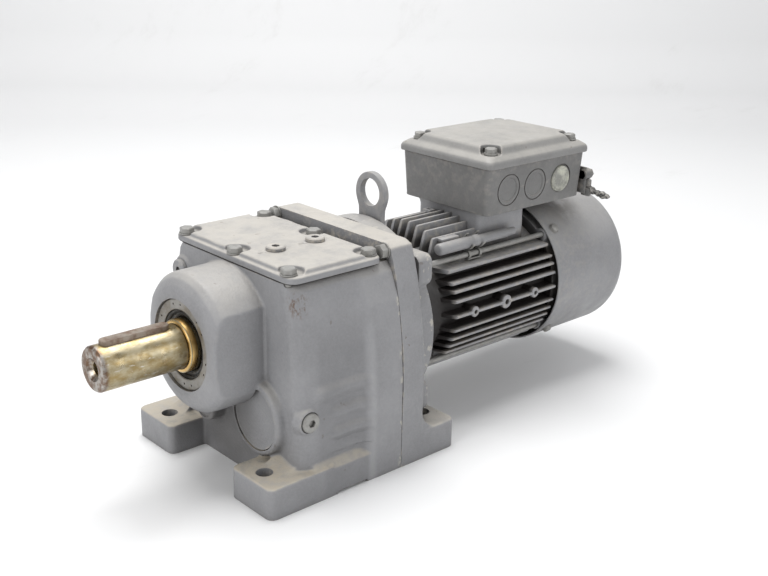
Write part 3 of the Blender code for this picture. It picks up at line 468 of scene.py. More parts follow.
def metal(name, base, stain, rough=0.35, scale=120, amount=0.6, metallic=1.0):
    """Bare, oiled or plated metal, rubber or plastic, with patches of stain, fine pits and painted shade in its
    crevices.
    """
    n = Nodes(name)
    colour = n.mix(n.ramp(n.noise(scale, 5, 0.65), 0.38, 0.68, 0.0, amount), base, stain)
    # painted shade: the stain colour darkened in crevices within 4 mm
    colour = n.over(colour, times(stain, 0.2), n.shade_and_dirt_creases(0.004), 0.6)
    n.shader.inputs["Metallic"].default_value = metallic
    n.feed(colour, n.ramp(n.noise(scale * 0.6, 5, 0.6), 0.3, 0.7, rough - 0.08, rough + 0.18),
           n.bump(n.noise(scale * 6, 4, 0.6), 0.2, 0.0004))
    return n.material


def fin_gap_dust_and_shade(n, colour):
    """Brown dust and painted shade between the cooling fins: near-black painted shadow deep in the gaps on the
    sides, lighter painted shade on the upper fins.
    """
    flank = n.maths('MULTIPLY', n.coordinate('Z', 61, 66), n.coordinate('Z', 137, 133))
    dust = n.ramp(n.noise(60, 5), 0.35, 0.6, 0.15, 0.75)
    # brown dust and painted shade just inside the fin tips
    colour = n.over(colour, (0.12, 0.097, 0.075), n.from_motor_axis(66.4, 64.0), flank, dust)
    # painted shadow: near black deeper between the side fins
    colour = n.over(colour, (0.013, 0.010, 0.009), n.from_motor_axis(65.4, 60.5), flank, 0.97)
    beside = n.maths('SUBTRACT', 1.0, n.upward())
    # painted shade on the faces between the upper fins that do not look up
    return n.over(colour, (0.03, 0.026, 0.023), n.from_motor_axis(66, 57), n.coordinate('Z', 133, 138),
                  n.coordinate('Z', 174, 168), beside, 0.8)


def shaft_metal():
    """Ground shaft under an old oil film, with blotches, pale scratches, a cleaner bright end and painted shade
    in its crevices.
    """
    n = Nodes("oiled_shaft")
    blotch = n.ramp(n.noise(75, 6, 0.7, (1, 1.6, 1.6)), 0.36, 0.64)
    colour = n.mix(blotch, (0.45, 0.395, 0.27), (0.32, 0.24, 0.11))
    colour = n.over(colour, (0.13, 0.085, 0.04), n.ramp(n.noise(38, 5, 0.65), 0.56, 0.7, 0.0, 0.75))
    scratch = n.ramp(n.noise(300, 5, 0.7, (0.25, 1, 1)), 0.61, 0.67, 0.0, 0.7)
    colour = n.over(colour, (0.66, 0.64, 0.58), scratch)
    silver = n.mix(n.ramp(n.noise(160, 5), 0.35, 0.6), (0.4, 0.38, 0.35), (0.16, 0.10, 0.065))
    colour = n.mix(n.coordinate('X', 5.5, 1.5), colour, silver)
    # painted shade: near black in crevices within 6 mm
    colour = n.over(colour, (0.03, 0.018, 0.01), n.shade_and_dirt_creases(0.006), 0.85)
    n.shader.inputs["Metallic"].default_value = 0.9
    n.feed(colour, n.ramp(n.noise(90, 5, 0.6), 0.3, 0.7, 0.24, 0.5),
           n.bump(n.noise(500, 4, 0.6, (0.3, 1, 1)), 0.25, 0.0004))
    return n.material


PAINT = painted("cast_grey_paint", scuffed_and_shaded=True)
PAINT_TOP = painted("dusty_grey_paint", dust=0.8, chips=0.8)
PAINT_PLATE = painted("plate_grey_paint", dust=0.9, chips=0.9, grain=1.3)
PAINT_SHEET = painted("sheet_grey_paint", grain=0.3, chips=0.3, grime_and_shade=0.35, rough=0.42, dust=0.25,
                      shade_spot=BOX_SHADE_SPOT)
PAINT_FINS = painted("fin_grey_paint", base=(0.30, 0.30, 0.31), dust=0.3, grain=0.5, grime_and_shade=0.4, fins=True)
PAINT_BOX = painted("box_grey_paint", base=(0.17, 0.168, 0.165), grain=0.5, chips=0.35, grime_and_shade=0.6)
PAINT_LID = painted("lid_grey_paint", base=(0.235, 0.233, 0.228), dust=0.45, grain=0.6, chips=1.0, grime_and_shade=0.5)
OILED = shaft_metal()
SHOULDER = metal("golden_shoulder", (0.66, 0.45, 0.18), (0.36, 0.2, 0.06), 0.24, 90, 0.6)
KEY_STEEL = metal("rusty_key", (0.34, 0.29, 0.24), (0.17, 0.1, 0.065), 0.4, 110, 0.85, 0.7)
STEEL = metal("machined_steel", (0.42, 0.42, 0.42), (0.25, 0.24, 0.22), 0.3)
SEAL_DISC = metal("seal_disc", (0.3, 0.29, 0.27), (0.17, 0.14, 0.1), 0.45, 70, 0.85, 0.5)
SCREW = metal("painted_zinc", (0.33, 0.325, 0.31), (0.23, 0.22, 0.2), 0.42, 160, 0.6, 0.35)
RUBBER = metal("seal_rubber_oily", (0.02, 0.018, 0.015), (0.045, 0.04, 0.03), 0.3, 200, 0.5, 0.0)
COPPER = metal("lacquered_copper", (0.42, 0.17, 0.08), (0.24, 0.08, 0.04), 0.35)
PLASTIC = metal("black_plastic", (0.03, 0.03, 0.032), (0.05, 0.05, 0.05), 0.45, 200, 0.5, 0.0)
LINING = metal("friction_lining_dust", (0.09, 0.07, 0.06), (0.04, 0.035, 0.03), 0.8, 200, 0.7, 0.0)
PLUG_BRIGHT = metal("worn_bright_plug", (0.26, 0.26, 0.235), (0.60, 0.60, 0.50), 0.22, 90, 0.85, 0.0)
DARK = metal("dark_recess", (0.02, 0.019, 0.018), (0.035, 0.03, 0.025), 0.7, 200, 0.5, 0.0)
TORN = metal("torn_cable", (0.03, 0.03, 0.03), (0.42, 0.4, 0.37), 0.6, 420, 1.0, 0.0)


def dress(obj, material, slot, *nodes, body="housing"):
    """Give a piece its material, attach it to its body, and hide the CAD nodes it stands for. slot is not used.
    """
    obj.data.materials.clear()
    obj.data.materials.append(material)
    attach(obj, body)
    if nodes:
        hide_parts(*nodes)


# ---------------------------------------------------------------- gear unit

BODY_FRONT = [(70, 175), (77, 166), (82.4, 141), (85.5, 103), (87.4, 55), (88.0, -4)]
BODY_REAR = [(70, 175), (78.5, 165), (86.5, 144), (91.5, 112), (94.0, 80), (94.2, -4)]
PLATE_ROWS = [(69, 184.8), (76, 182), (80, 170), (84, 156), (88, 136), (91, 118), (94, 95),
              (94.9, 70), (94.4, 40), (94.4, -4)]


def half_outline(rows, low=BELOW):
    """Mirror rows of (half width, z), listed top to bottom, into a closed outline."""
    left = [(-w, z) for w, z in rows] + [(-rows[-1][0] + 4, low)]
    return left + [(-y, z) for y, z in left[::-1]]


def widths(rows, change):
    """Rows made wider by change on each side."""
    return [(w + change, z) for w, z in rows]


def between(rows, others, share):
    """Rows part of the way from one outline to another."""
    return [(w + (v - w) * share, z + (u - z) * share) for (w, z), (v, u) in zip(rows, others)]


def foot_holes(x, top):
    """Cutters for the bolt holes of the near and far foot."""
    return [pin("foot_hole", -10, top, FOOT_HOLE_R, (x, side * HOLE_Y), 48, 'Z') for side in (-1, 1)]


def gearcase():
    """Front casting: body with recessed sides, flat-sided hub, two feet, rails along the floor and bosses."""
    shoulder = [(119, -8), (121.5, -3.6), (126, -0.8), (131, 0), (173.0, -0.2)]
    flare = [(178.5, 0.12), (182.0, 0.36), (185.0, 0.74), (187.5, 0.96)]
    sections = [(x, half_outline(widths(BODY_FRONT, change))) for x, change in shoulder]
    sections += [(x, half_outline(between(BODY_FRONT, BODY_REAR, share))) for x, share in flare]
    sections += [(x, half_outline(BODY_REAR)) for x in (191.0, SEAM_X + 6)]
    body = loft("body", sections)
    hub = turned("hub", [(72.8, 20), (72.8, 41), (74.0, 45.5), (77.0, 51.5), (81.5, 55.3), (86, 55.8),
                         (125, 56.2), (125, 20)], OUTPUT_AXIS, 128)
    carve(hub, [block("flat", (60, 45.5 if s > 0 else -90, 20), (126, 90 if s > 0 else -45.5, 210))
                for s in (-1, 1)])
    shapes = [body, hub]
    for side in (-1, 1):
        low, high = sorted((side * FOOT_INNER, side * FOOT_OUTER))
        foot = rounded(86, 150, low, high, 6)
        shapes.append(tower("foot", [(BELOW, foot), (24.2, foot),
                                     (25.3, rounded(86.8, 150, low + 0.8, high - 0.8, 5.5))]))
        outer = side * 94.1
        shapes.append(loft("rail", [(x, [(side * 70, BELOW), (outer, BELOW), (outer, 22.5), (side * 87.5, 30),
                                         (side * 70, 33)]) for x in (130, SEAM_X + 6)]))
        shapes.append(loft("root", [
            (x, [(side * near, 15), (side * far, 15), (side * crest, edge_z), (side * near, root_z)])
            for x, near, far, crest, edge_z, root_z in ((129, 60, 87, 85, 33, 40), (120, 58, 86, 82, 28, 34),
                                                   (106, 56, 84, 78, 24.6, 25))]))
    shapes += [
        turned("cap_boss", [(111.3, 9), (111.3, 29.3), (112.6, 30.6), (124, 32.6), (124, 9)], LAY_AXIS, 128),
        turned("small_boss", [(105.8, 5), (105.8, 13.2), (107, 14.2), (124, 15), (124, 5)], CAP_2, 64),
        turned("plug_boss", [(116.3, 3), (116.3, 10.2), (117.4, 11.2), (124, 12.5), (124, 3)], FRONT_PLUG, 48),
        turned("level_boss", [(-88.6, 3), (-88.6, 9.4), (-86, 10.4), (-80, 12), (-80, 3)], LEVEL_PORT, 48, 'Y')]
    machined = [block("seam", (SEAM_X, -120, -30), (SEAM_X + 60, 120, 240)),
                block("floor", (40, -120, -40), (300, 120, 0)),
                block("relief", (150, -110, -5), (181, 110, 2.2)),
                block("top", (118, -120, 172), (300, 120, 240)),
                solid("output_bore", [(60, 36.3), (88, 36.3), (88, 40.4), (140, 40.4)],
                       OUTPUT_AXIS, 96),
                pin("rear_bore", 156, 186, 36.7, OUTPUT_AXIS, 64),
                pin("lay_bore", 109, 143, 26.8, LAY_AXIS, 96),
                pin("cap_bore", 99, 113, 11.3, CAP_2, 48),
                pin("throat", 151, 191, 18, LAY_AXIS, 32),
                pin("plug_bore", 105, 131, PLUG_BORE_R, FRONT_PLUG, 32),
                solid("level_bore", [(-95, 8.5), (-87.2, 8.5), (-87.2, PLUG_BORE_R),
                                      (-80.5, PLUG_BORE_R)], LEVEL_PORT, 48, 'Y')]
    inner = [(60, 156), (73, 146), (76, 110), (77, 60), (75, 20)]
    machined.append(loft("front_room", [(x, half_outline(inner, 14)) for x in (134.5, 163.5)]))
    machined.append(loft("rear_room", [(x, half_outline(widths(inner, 4), 14)) for x in (179.5, SEAM_X + 5)]))
    machined.append(block("hatch", (135.5, -57, 150), (194, 57, 180)))
    machined += foot_holes(HOLE_X[0], 40)
    machined += [pin("bolt_hole", 158.5, 190, COVER_HOLE_R, spot, 24, 'Z') for spot in COVER_BOLTS]
    piece = cast("gearcase_casting", shapes, 1.2, 5, machined=machined, relief=ripples)
    dress(piece, PAINT, "cast", "gearcase")


def step_up(distance, softness):
    """Soft step from 0 to 1 as distance passes zero."""
    return 0.5 + 0.5 * math.tanh(distance / softness)


# Each wave's middle height, half height, and where along x it starts to rise.
WAVES = ((85.0, 6.5, 134.0), (66.5, 6.2, 149.0), (49.5, 6.2, 149.0))


def ripples(x, y, z):
    """Soft waves that stand out of the recessed sides of the gearcase, and the ledge above them."""
    if abs(y) < 80 or z < 34 or x > 192 or x < 130:
        return 0.0
    fade = 0.5 - 0.5 * math.tanh((x - 187) / 2.2)
    hollow = 1.3 * step_up(95 - z, 3.0) * step_up(x - 150, 7.0)
    swell = 0.0
    for middle, half_height, start in WAVES:
        across = (z - middle) / half_height
        swell += 4.8 * step_up(x - start - 2.5 * across**2, 4.5) * math.exp(-across**2)
    return math.copysign(fade * (swell - hollow), y)


def rear_plate():
    """Rear casting behind the seam, with its two feet and the ribs that run down to them."""
    shapes = [loft("plate", [(SEAM_X - 4, half_outline(PLATE_ROWS)), (PLATE_X1 - 1, half_outline(PLATE_ROWS)),
                             (PLATE_X1, half_outline(widths(PLATE_ROWS, -1)))])]
    for side in (-1, 1):
        low, high = sorted((side * FOOT_INNER, side * FOOT_OUTER))
        foot = rounded(PLATE_X1 - 18, 280, low, high, 8)
        shapes.append(tower("rear_foot", [(BELOW, foot), (23.8, foot),
                                          (25.3, rounded(PLATE_X1 - 18, 279, low + 1, high - 1, 7))]))
        low, high = sorted((side * 80.5, side * 93.0))
        steps = [(-4, 44), (0, 41), (4, 32), (10, 27), (16, 24.5)]
        shapes.append(loft("gusset", [(PLATE_X1 + dx, [(low, 10), (high, 10), (high, z), (low, z)])
                                      for dx, z in steps]))
    machined = [block("front", (150, -120, -30), (SEAM_X + 0.3, 120, 240)),
                block("floor", (150, -120, -40), (320, 120, 0)),
                block("arch", (200, -FOOT_INNER, -5), (300, FOOT_INNER, 6)),
                pin("spigot", 200, 260, 28.2, MOTOR_AXIS, 64),
                pin("lay_bore", 200, 234, 26.6, LAY_AXIS, 64)]
    machined += foot_holes(HOLE_X[1], 42)
    machined += [pin("screw_hole", 210, 236, 4.3, spot, 24) for spot in FLANGE_SCREWS]
    piece = cast("rear_plate_casting", shapes, 1.3, 5, machined=machined)
    dress(piece, PAINT_PLATE, "cast", "rear_plate")


def top_cover():
    """Cover with a raised pad that leaves round notches for its screws."""
    def outline(inset, radius):
        return rounded(119 + inset, 209 - inset, inset - 78, 78 - inset, radius)

    shapes = [tower("flange", [(170, outline(0, 9)), (177.2, outline(0, 9)), (178, outline(0.8, 9))])]
    pad = tower("pad", [(172, outline(1.2, 8)), (180.8, outline(3.2, 8)), (182, outline(4.8, 8))])
    carve(pad, [solid("notch", [(178, 9.4), (186, 12.6)],
                       (x + 1.5 * (x < 150) - 1.5 * (x > 150), y), 48, 'Z') for x, y in COVER_BOLTS])
    shapes.append(pad)
    pits = []
    for x in TOP_PLUG_X:
        pits.append(block("pit", (x - 16, -24.6, 180.6), (x - 9, -20.6, 186), 0.6))
        pits.append(block("pit", (x + 11, -24.0, 181.0), (x + 14, -21.4, 186), 0.6))
    machined = [block("under", (100, -100, 150), (240, 100, 173.2))]
    machined += [pin("hole", 160, 190, COVER_HOLE_R, spot, 24, 'Z') for spot in COVER_BOLTS]
    machined += [pin("plug_hole", 160, 190, PLUG_BORE_R, (x, TOP_PLUG_Y), 32, 'Z') for x in TOP_PLUG_X]
    piece = cast("cover_casting", shapes, 0.75, 4, hollows=pits)
    for vertex in piece.data.vertices:
        x, y, z = vertex.co / MM
        if z > 180.5:
            vertex.co.z += MM * 0.22 * math.sin(y / 4.6) * step_up(y + 8, 6)
    carve(piece, machined)
    shade(piece, CAST_ANGLE)
    dress(piece, PAINT_TOP, "cast", "gearcase_cover")


def hex_head(name, seat, axis, across, height, washer, shank_r, shank):
    """Chamfered hexagon head on a washer, with its shank; seat is the point under the washer."""
    sign = -1.0 if axis.startswith('-') else 1.0
    unit = {'X': Vector((1, 0, 0)), 'Y': Vector((0, 1, 0)), 'Z': Vector((0, 0, 1))}[axis[-1]] * sign
    corner = across / math.sqrt(3)
    hexagon = [(corner * math.cos(math.pi / 3 * i), corner * math.sin(math.pi / 3 * i)) for i in range(6)]
    inner = [(x * 0.86, y * 0.86) for x, y in hexagon]
    rings = [[(x, y, washer) for x, y in hexagon], [(x, y, height - 0.7) for x, y in hexagon],
             [(x, y, height) for x, y in inner]]
    bm = skin(rings)
    bmesh.ops.bevel(bm, geom=[e for e in bm.edges if abs(e.verts[0].co.z - e.verts[1].co.z) > 1], offset=0.35,
                    segments=2, affect='EDGES', profile=0.5)
    for radius, low, high, count in ((across * 0.62, 0.0, washer, 40), (shank_r, -shank, washer + 0.5, 20)):
        disc = bmesh.ops.create_cone(bm, cap_ends=True, segments=count, radius1=radius, radius2=radius,
                                     depth=high - low)
        bmesh.ops.translate(bm, vec=(0, 0, (high + low) / 2), verts=disc["verts"])
    turn = Vector((0, 0, 1)).rotation_difference(unit).to_matrix()
    spin = Matrix.Rotation(0.35 + 1.7 * seat[0] + 0.9 * seat[1], 3, 'Z')
    bmesh.ops.rotate(bm, cent=(0, 0, 0), matrix=turn @ spin, verts=bm.verts)
    bmesh.ops.translate(bm, vec=seat, verts=bm.verts)
    return finish(name, bm, 30)


def socket_plug(name, seat, axis, radius, height, shank):
    """Collared screw plug with a chamfer and a hexagon socket."""
    sign = -1.0 if axis.startswith('-') else 1.0
    key = axis[-1]
    index = 'XYZ'.index(key)
    centre = [seat[i] for i in range(3) if i != index]
    base = seat[index]

    def part(part_name, profile, segments):
        return turned(part_name, [(along * sign, r) for along, r in profile], centre, segments, key, base)

    collar = part(name, [(0, 0), (0, radius), (height - 0.8, radius), (height, radius - 0.9),
                         (height, 0)], 64)
    socket = part("socket", [(height - 2.4, 0), (height - 2.4, 3.3), (height + 2, 3.3), (height + 2, 0)], 6)
    carve(collar, [socket], 'EXACT')
    stem = part("stem", [(0.3, 0), (0.3, 6.0), (-shank, 6.0), (-shank, 0)], 32)
    return merge(name, [collar, stem], 32)


def gear_unit_details():
    """Screws, plugs and closing caps of the gear unit."""
    for i, (x, y) in enumerate(COVER_BOLTS):
        screw = hex_head(f"cover_bolt_{i + 1}", (x, y, 178.3), 'Z', 10.6, 5.2, 0.9, 4.0, 18)
        dress(screw, SCREW, "zinc_plated", f"cover_screw_{i + 1}")
    for i, (y, z) in enumerate(FLANGE_SCREWS):
        screw = hex_head(f"plate_bolt_{i + 1}", (SEAM_X, y, z), '-X', 10.8, 6.0, 1.0, 4.0, 18)
        dress(screw, SCREW, "zinc_plated", f"flange_screw_{i + 1}")
    for name, x in zip(("filler_plug", "breather_plug"), TOP_PLUG_X):
        plug = socket_plug(name + "_body", (x, TOP_PLUG_Y, 182.3), 'Z', 7.7, 2.9, 13)
        dress(plug, PAINT_TOP, "grey_paint", name)
    plug = socket_plug("level_plug_body", (LEVEL_PORT[0], -87.3, LEVEL_PORT[1]), '-Y', 7.6, 3.5, 5.5)
    dress(plug, SCREW, "steel", "level_plug")
    plug = socket_plug("front_plug_body", (116.2, *FRONT_PLUG), '-X', 8.8, 3.4, 12)
    dress(plug, PAINT, "grey_paint", "front_plug")
    cap = solid("closing_cap_large_disc", [(112.9, 23.6), (112.2, 24.6), (112.2, 26.0), (117.4, 26.0)],
                LAY_AXIS, 96)
    dress(cap, PAINT, "cast", "closing_cap_large")
    cap = solid("closing_cap_small_disc", [(106.9, 10), (106.3, 10.5), (106.3, 11.0), (112, 11.0)], CAP_2, 64)
    dress(cap, PAINT, "cast", "closing_cap_small")


def seal():
    """Seal carrier disc with pairs of dimples round it, and the black lip inside."""
    disc = turned("seal_carrier_disc", [(75.4, 27.6), (74.9, 28.4), (74.7, 35.2), (75.2, 36.0), (84.5, 36.0),
                                        (84.5, 27.6)], OUTPUT_AXIS, 128)
    dimples = []
    for pair in range(6):
        for step in (-9, 9):
            a = math.radians(20 + pair * 60 + step)
            dimples.append(solid("dimple", [(70, 0.9), (76.6, 0.8)],
                                  (32.0 * math.cos(a), OUTPUT_Z + 32.0 * math.sin(a)), 12))
    carve(disc, dimples, 'EXACT')
    shade(disc, 30)
    dress(disc, SEAL_DISC, "steel", "output_oil_seal")
    lip = turned("seal_lip", [(76.6, 27.5), (76.0, 26.6), (76.8, 25.4), (78.2, 24.8), (77.4, 23.4),
                              (78.6, 21.3), (84.4, 21.2), (84.4, 27.5)], OUTPUT_AXIS, 96)
    dress(lip, RUBBER, "seal_rubber")


def output_shaft():
    """Stepped shaft with its centre hole and keyway, the bright shoulder by the seal, and the key."""
    body = turned("output_shaft_turned", [
        (27, 0), (24, 4.2), (8, 4.2), (7.6, 5.0), (3.6, 5.2), (0.6, 8.6), (0, 9.0), (0, 16.0),
        (0.5, 16.5), (1.6, 17.3), (2.2, 17.5), (69.0, 17.5), (69.4, 17.2), (70, 17.2), (70, 19.9),
        (70.5, 20.7), (90, 20.7), (91, 22.5), (113, 22.5), (113, 27), (136.5, 27), (136.5, 24),
        (161, 24), (161, 20), (180, 20), (180, 0)],
        OUTPUT_AXIS, 128)
    ends = arc(11.6, 0, 5.05, 90, 270, 12) + arc(58.4, 0, 5.05, -90, 90, 12)
    keyway = tower("keyway", [(OUTPUT_Z + 12.4, ends), (OUTPUT_Z + 30, ends)])
    carve(body, [keyway])
    shade(body, 28)
    dress(body, OILED, "oiled_steel", "output_shaft", body="output")
    ring = turned("shaft_shoulder_ring", [(70.1, 17.7), (69.6, 18.1), (69.6, 19.5), (70.1, 20.1),
                                          (71.2, 20.9), (75.5, 20.95), (75.5, 17.7)], OUTPUT_AXIS, 96)
    dress(ring, SHOULDER, "oiled_steel", body="output")
    ends = arc(11.6, 0, 4.8, 90, 270, 12) + arc(58.4, 0, 4.8, -90, 90, 12)
    inset = arc(11.6, 0, 4.35, 90, 270, 12) + arc(58.4, 0, 4.35, -90, 90, 12)
    key = tower("parallel_key", [(OUTPUT_Z + 12.8, ends), (OUTPUT_Z + 20.3, ends), (OUTPUT_Z + 20.8, inset)])
    dress(key, KEY_STEEL, "rusty_key_steel", "output_key", body="output")


# ---------------------------------------------------------------- motor

MIDDLE_FIN_Z = -0.5
SIDE_FIN_Z = (37.0, 27.6, 20.9, 12.8, MIDDLE_FIN_Z, -13.6, -22.0, -29.4, -36.4)
TOP_FIN_Y = (-33.0, -23.3, -13.6, -3.9, 5.8, 15.5, 25.2, 33.0)
FIN_X = (298.6, 436.0)
SIDE_REACH, TOP_REACH = 66.6, 71.5
BARREL_R = 52.0


def motor_flange():
    """Round flange with a lug and a tapped boss at each corner."""
    shapes = [solid("disc", [(PLATE_X1 - 4, 83.8), (259.5, 83.8), (262, 82), (262, 48),
                              (276, 46)], MOTOR_AXIS, 128)]
    for (sy, sz), spot in zip(CORNERS, TIE_SPOTS):
        y, z = sorted((sy * 42.0, sy * 78.6)), sorted((sz * 42.0, sz * 68.6))
        outline = rounded(*y, MOTOR_Z + z[0], MOTOR_Z + z[1], 7)
        shapes.append(loft("lug", [(246.5, outline), (261.6, outline)]))
        shapes.append(solid("boss", [(255, 7.2), (266, 6.6), (268, 6.0)], spot, 32))
    machined = [block("face", (200, -120, -20), (PLATE_X1 + 0.3, 120, 240)),
                solid("bore", [(230, 20), (262, 20), (262, 26.3), (280, 26.3)],
                       MOTOR_AXIS, 64),
                pin("core", 270, 280, 36, MOTOR_AXIS, 64)]
    machined += [pin("thread", 256, 285, 3.0, spot, 24) for spot in TIE_SPOTS]
    piece = cast("motor_flange_casting", shapes, 1.3, 5, machined=machined)
    dress(piece, PAINT, "cast", "motor_flange")


def fin_plate(turn, offset, reach, thick, front=FIN_X[0], back=FIN_X[1], slant=1.0):
    """One tapered fin standing off the barrel, turned about the motor axis; offset is across the fin.

    slant is 1 for a front end that leans back towards the tip, and 0 for an upright one.
    """
    root = math.sqrt(BARREL_R**2 - offset**2) - 3
    tip = math.sqrt(reach**2 - (abs(offset) + thick / 2)**2)
    bm = bmesh.new()
    rows = []
    for radius, wide, cut_back in ((root, thick * 0.62, 0.0), (tip - 1.4, thick * 0.46, 6.4),
                                   (tip - 0.3, thick * 0.36, 7.4), (tip, thick * 0.2, 8.0)):
        start = front + cut_back * slant
        rows.append([bm.verts.new(point) for point in
                     ((start, offset - wide, radius), (back, offset - wide, radius),
                      (back, offset + wide, radius), (start, offset + wide, radius))])
    for a, b in zip(rows, rows[1:]):
        for i in range(4):
            j = (i + 1) % 4
            bm.faces.new((a[i], a[j], b[j], b[i]))
    bm.faces.new(rows[0][::-1])
    bm.faces.new(rows[-1])
    bmesh.ops.rotate(bm, cent=(0, 0, 0), matrix=Matrix.Rotation(turn, 3, 'X'), verts=bm.verts)
    bmesh.ops.translate(bm, vec=(0, 0, MOTOR_Z), verts=bm.verts)
    return finish("fin", bm, 30)


def ring_lug(name, low, high):
    """Small block with a square hole down through it."""
    wall = 2.4
    hole = block("hole", (low[0] + wall, low[1] + wall, low[2] + 2),
                 (high[0] - wall, high[1] - wall, high[2] + 5))
    return carve(block(name, low, high, 0.4), [hole], 'EXACT')


def stator_housing():
    """Finned barrel with screw bosses at the sides, pads below and a pedestal for the terminal box."""
    shapes = [turned("barrel", [(262.3, 45.2), (262.3, 51.4), (298, 51.6), (299.5, 52.6), (436, 52.6),
                                (436, 45.2)], MOTOR_AXIS, 128)]
    for offset in SIDE_FIN_Z:
        thick = 3.7 if offset == SIDE_FIN_Z[0] else 2.9
        spans = [FIN_X]
        if offset == MIDDLE_FIN_Z:
            spans = [(FIN_X[0], 326.5), (331.5, 365.5), (373.5, 405.5), (410.5, FIN_X[1])]
        for x0, x1 in spans:
            slant = 1.0 if x0 == FIN_X[0] else 0.0
            shapes.append(fin_plate(math.pi / 2, offset, SIDE_REACH, thick, x0, x1, slant))
            shapes.append(fin_plate(-math.pi / 2, -offset, SIDE_REACH, thick, x0, x1, slant))
    for offset in TOP_FIN_Y:
        back = 420.0 if abs(offset) > 22 else FIN_X[1]
        shapes.append(fin_plate(0, offset, TOP_REACH, 2.8, back=back))
        if abs(offset) < 30:
            shapes.append(fin_plate(math.pi, offset, SIDE_REACH, 2.8))
    for x, radius in ((329, 4.8), (369.5, 6.2), (408, 4.8)):
        for side in (-1, 1):
            profile = [(50, 0), (50, radius), (65.4, radius), (66.2, radius - 0.8), (66.2, radius * 0.42),
                       (62.0, radius * 0.36), (62.0, 0)]
            shapes.append(turned("fin_boss", [(side * along, r) for along, r in profile],
                                 (x, MOTOR_Z + MIDDLE_FIN_Z), 24, 'Y'))
    for x0, x1 in ((304, 361.6), (362.4, 421), (421.8, 431)):
        for side in (-1, 1):
            low, high = sorted((side * 30, side * 41.5))
            shapes.append(block("pad", (x0, low, MOTOR_Z - 51), (x1, high, MOTOR_Z - 36), 0.5))
    shapes.append(block("tab", (310, -40.5, 160.4), (331, -34, 163.2), 0.5))
    shapes.append(ring_lug("square_lug", (344, 10.5, 166), (352, 19.5, 172.3)))
    pedestal = tower("pedestal", [(z, rounded(357 - grow, 418 + grow, -38.5 - grow, 38.5 + grow, 5 + grow))
                                  for z, grow in ((122, 0), (172, 0), (175.5, 0.9), (178.1, 2.4))])
    carve(pedestal, [block("duct", (367.5, -26, 120), (407.5, 26, 190)),
                     pin("core", 340, 430, 45.2, MOTOR_AXIS, 64)], 'EXACT')
    shapes.append(pedestal)
    piece = merge("stator_casting", shapes, 35)
    dress(piece, PAINT_FINS, "cast", "stator_housing")


def lifting_eye():
    """Flat lifting eye held behind the motor flange."""
    top = arc(0, 203.5, 18.2, -20, 200, 40)
    outline = top + [(-14.2, 190), (-13.8, 184), (-13.8, 160), (13.8, 160), (13.8, 184), (14.2, 190)]
    inset = [(y * 0.972, 203.5 + (z - 203.5) * 0.972 if z > 165 else z) for y, z in outline]
    eye = loft("lifting_eye_plate", [(262.3, inset), (262.9, outline), (267.2, outline), (267.8, inset)])
    carve(eye, [pin("hole", 255, 275, 12, (0, 204.5), 64)], 'EXACT')
    shade(eye, 30)
    dress(eye, PAINT_SHEET, "grey_paint", "lifting_eye")


def fan_cover():
    """Pressed cover with a domed, slotted back, and its four radial screws."""
    wall, dome, radius = 1.3, 19.0, 69.9
    outer = [(LENGTH, 0.0)] + arc(LENGTH - dome, radius - dome, dome, 0, 90, 16)
    outer += [(437.2, radius), (436.8, radius - 0.5)]
    inner = [(436.8, radius - wall)] + arc(LENGTH - dome, radius - dome, dome - wall, 90, 0, 12)
    cover = turned("fan_cover_shell", outer + inner + [(LENGTH - wall, 0.0)], MOTOR_AXIS, 160)
    slots = []
    for row, (inner_r, outer_r, count) in enumerate(((15, 29, 8), (33, 49, 16))):
        for i in range(count):
            angle = 2 * math.pi * (i + 0.5 * row) / count
            slot = slot_cutter(inner_r, outer_r, 2.1)
            slot.data.transform(Matrix.Translation((0, 0, MOTOR_Z * MM)) @ Matrix.Rotation(angle, 4, 'X'))
            slots.append(slot)
    carve(cover, slots)
    shade(cover, 32)
    dress(cover, PAINT_SHEET, "grey_paint", "fan_cover")
    for i, (sy, sz) in enumerate(CORNERS):
        out = Vector((0, sy, sz)).normalized()
        head = [(69.3, 0), (69.3, 5.2), (70.1, 5.2), (70.2, 4.2), (72.6, 4.0), (73.4, 3.0), (73.4, 0)]
        screw = turned(f"cover_radial_screw_{i + 1}", head, (448, 0), 40, 'Z')
        turn = Matrix.Rotation(-math.atan2(out.y, out.z), 4, 'X')
        screw.data.transform(Matrix.Translation((0, 0, MOTOR_Z * MM)) @ turn)
        dress(screw, SCREW, "zinc_plated", f"fan_cover_screw_{i + 1}")


def slot_cutter(low, high, half_width):
    """Round-ended slot through the back of the fan cover, before it is turned into place."""
    outline = arc(0, high - half_width, half_width, 0, 180, 8)
    outline += arc(0, low + half_width, half_width, 180, 360, 8)
    return loft("slot", [(x, outline) for x in (LENGTH - 6, LENGTH + 6)])


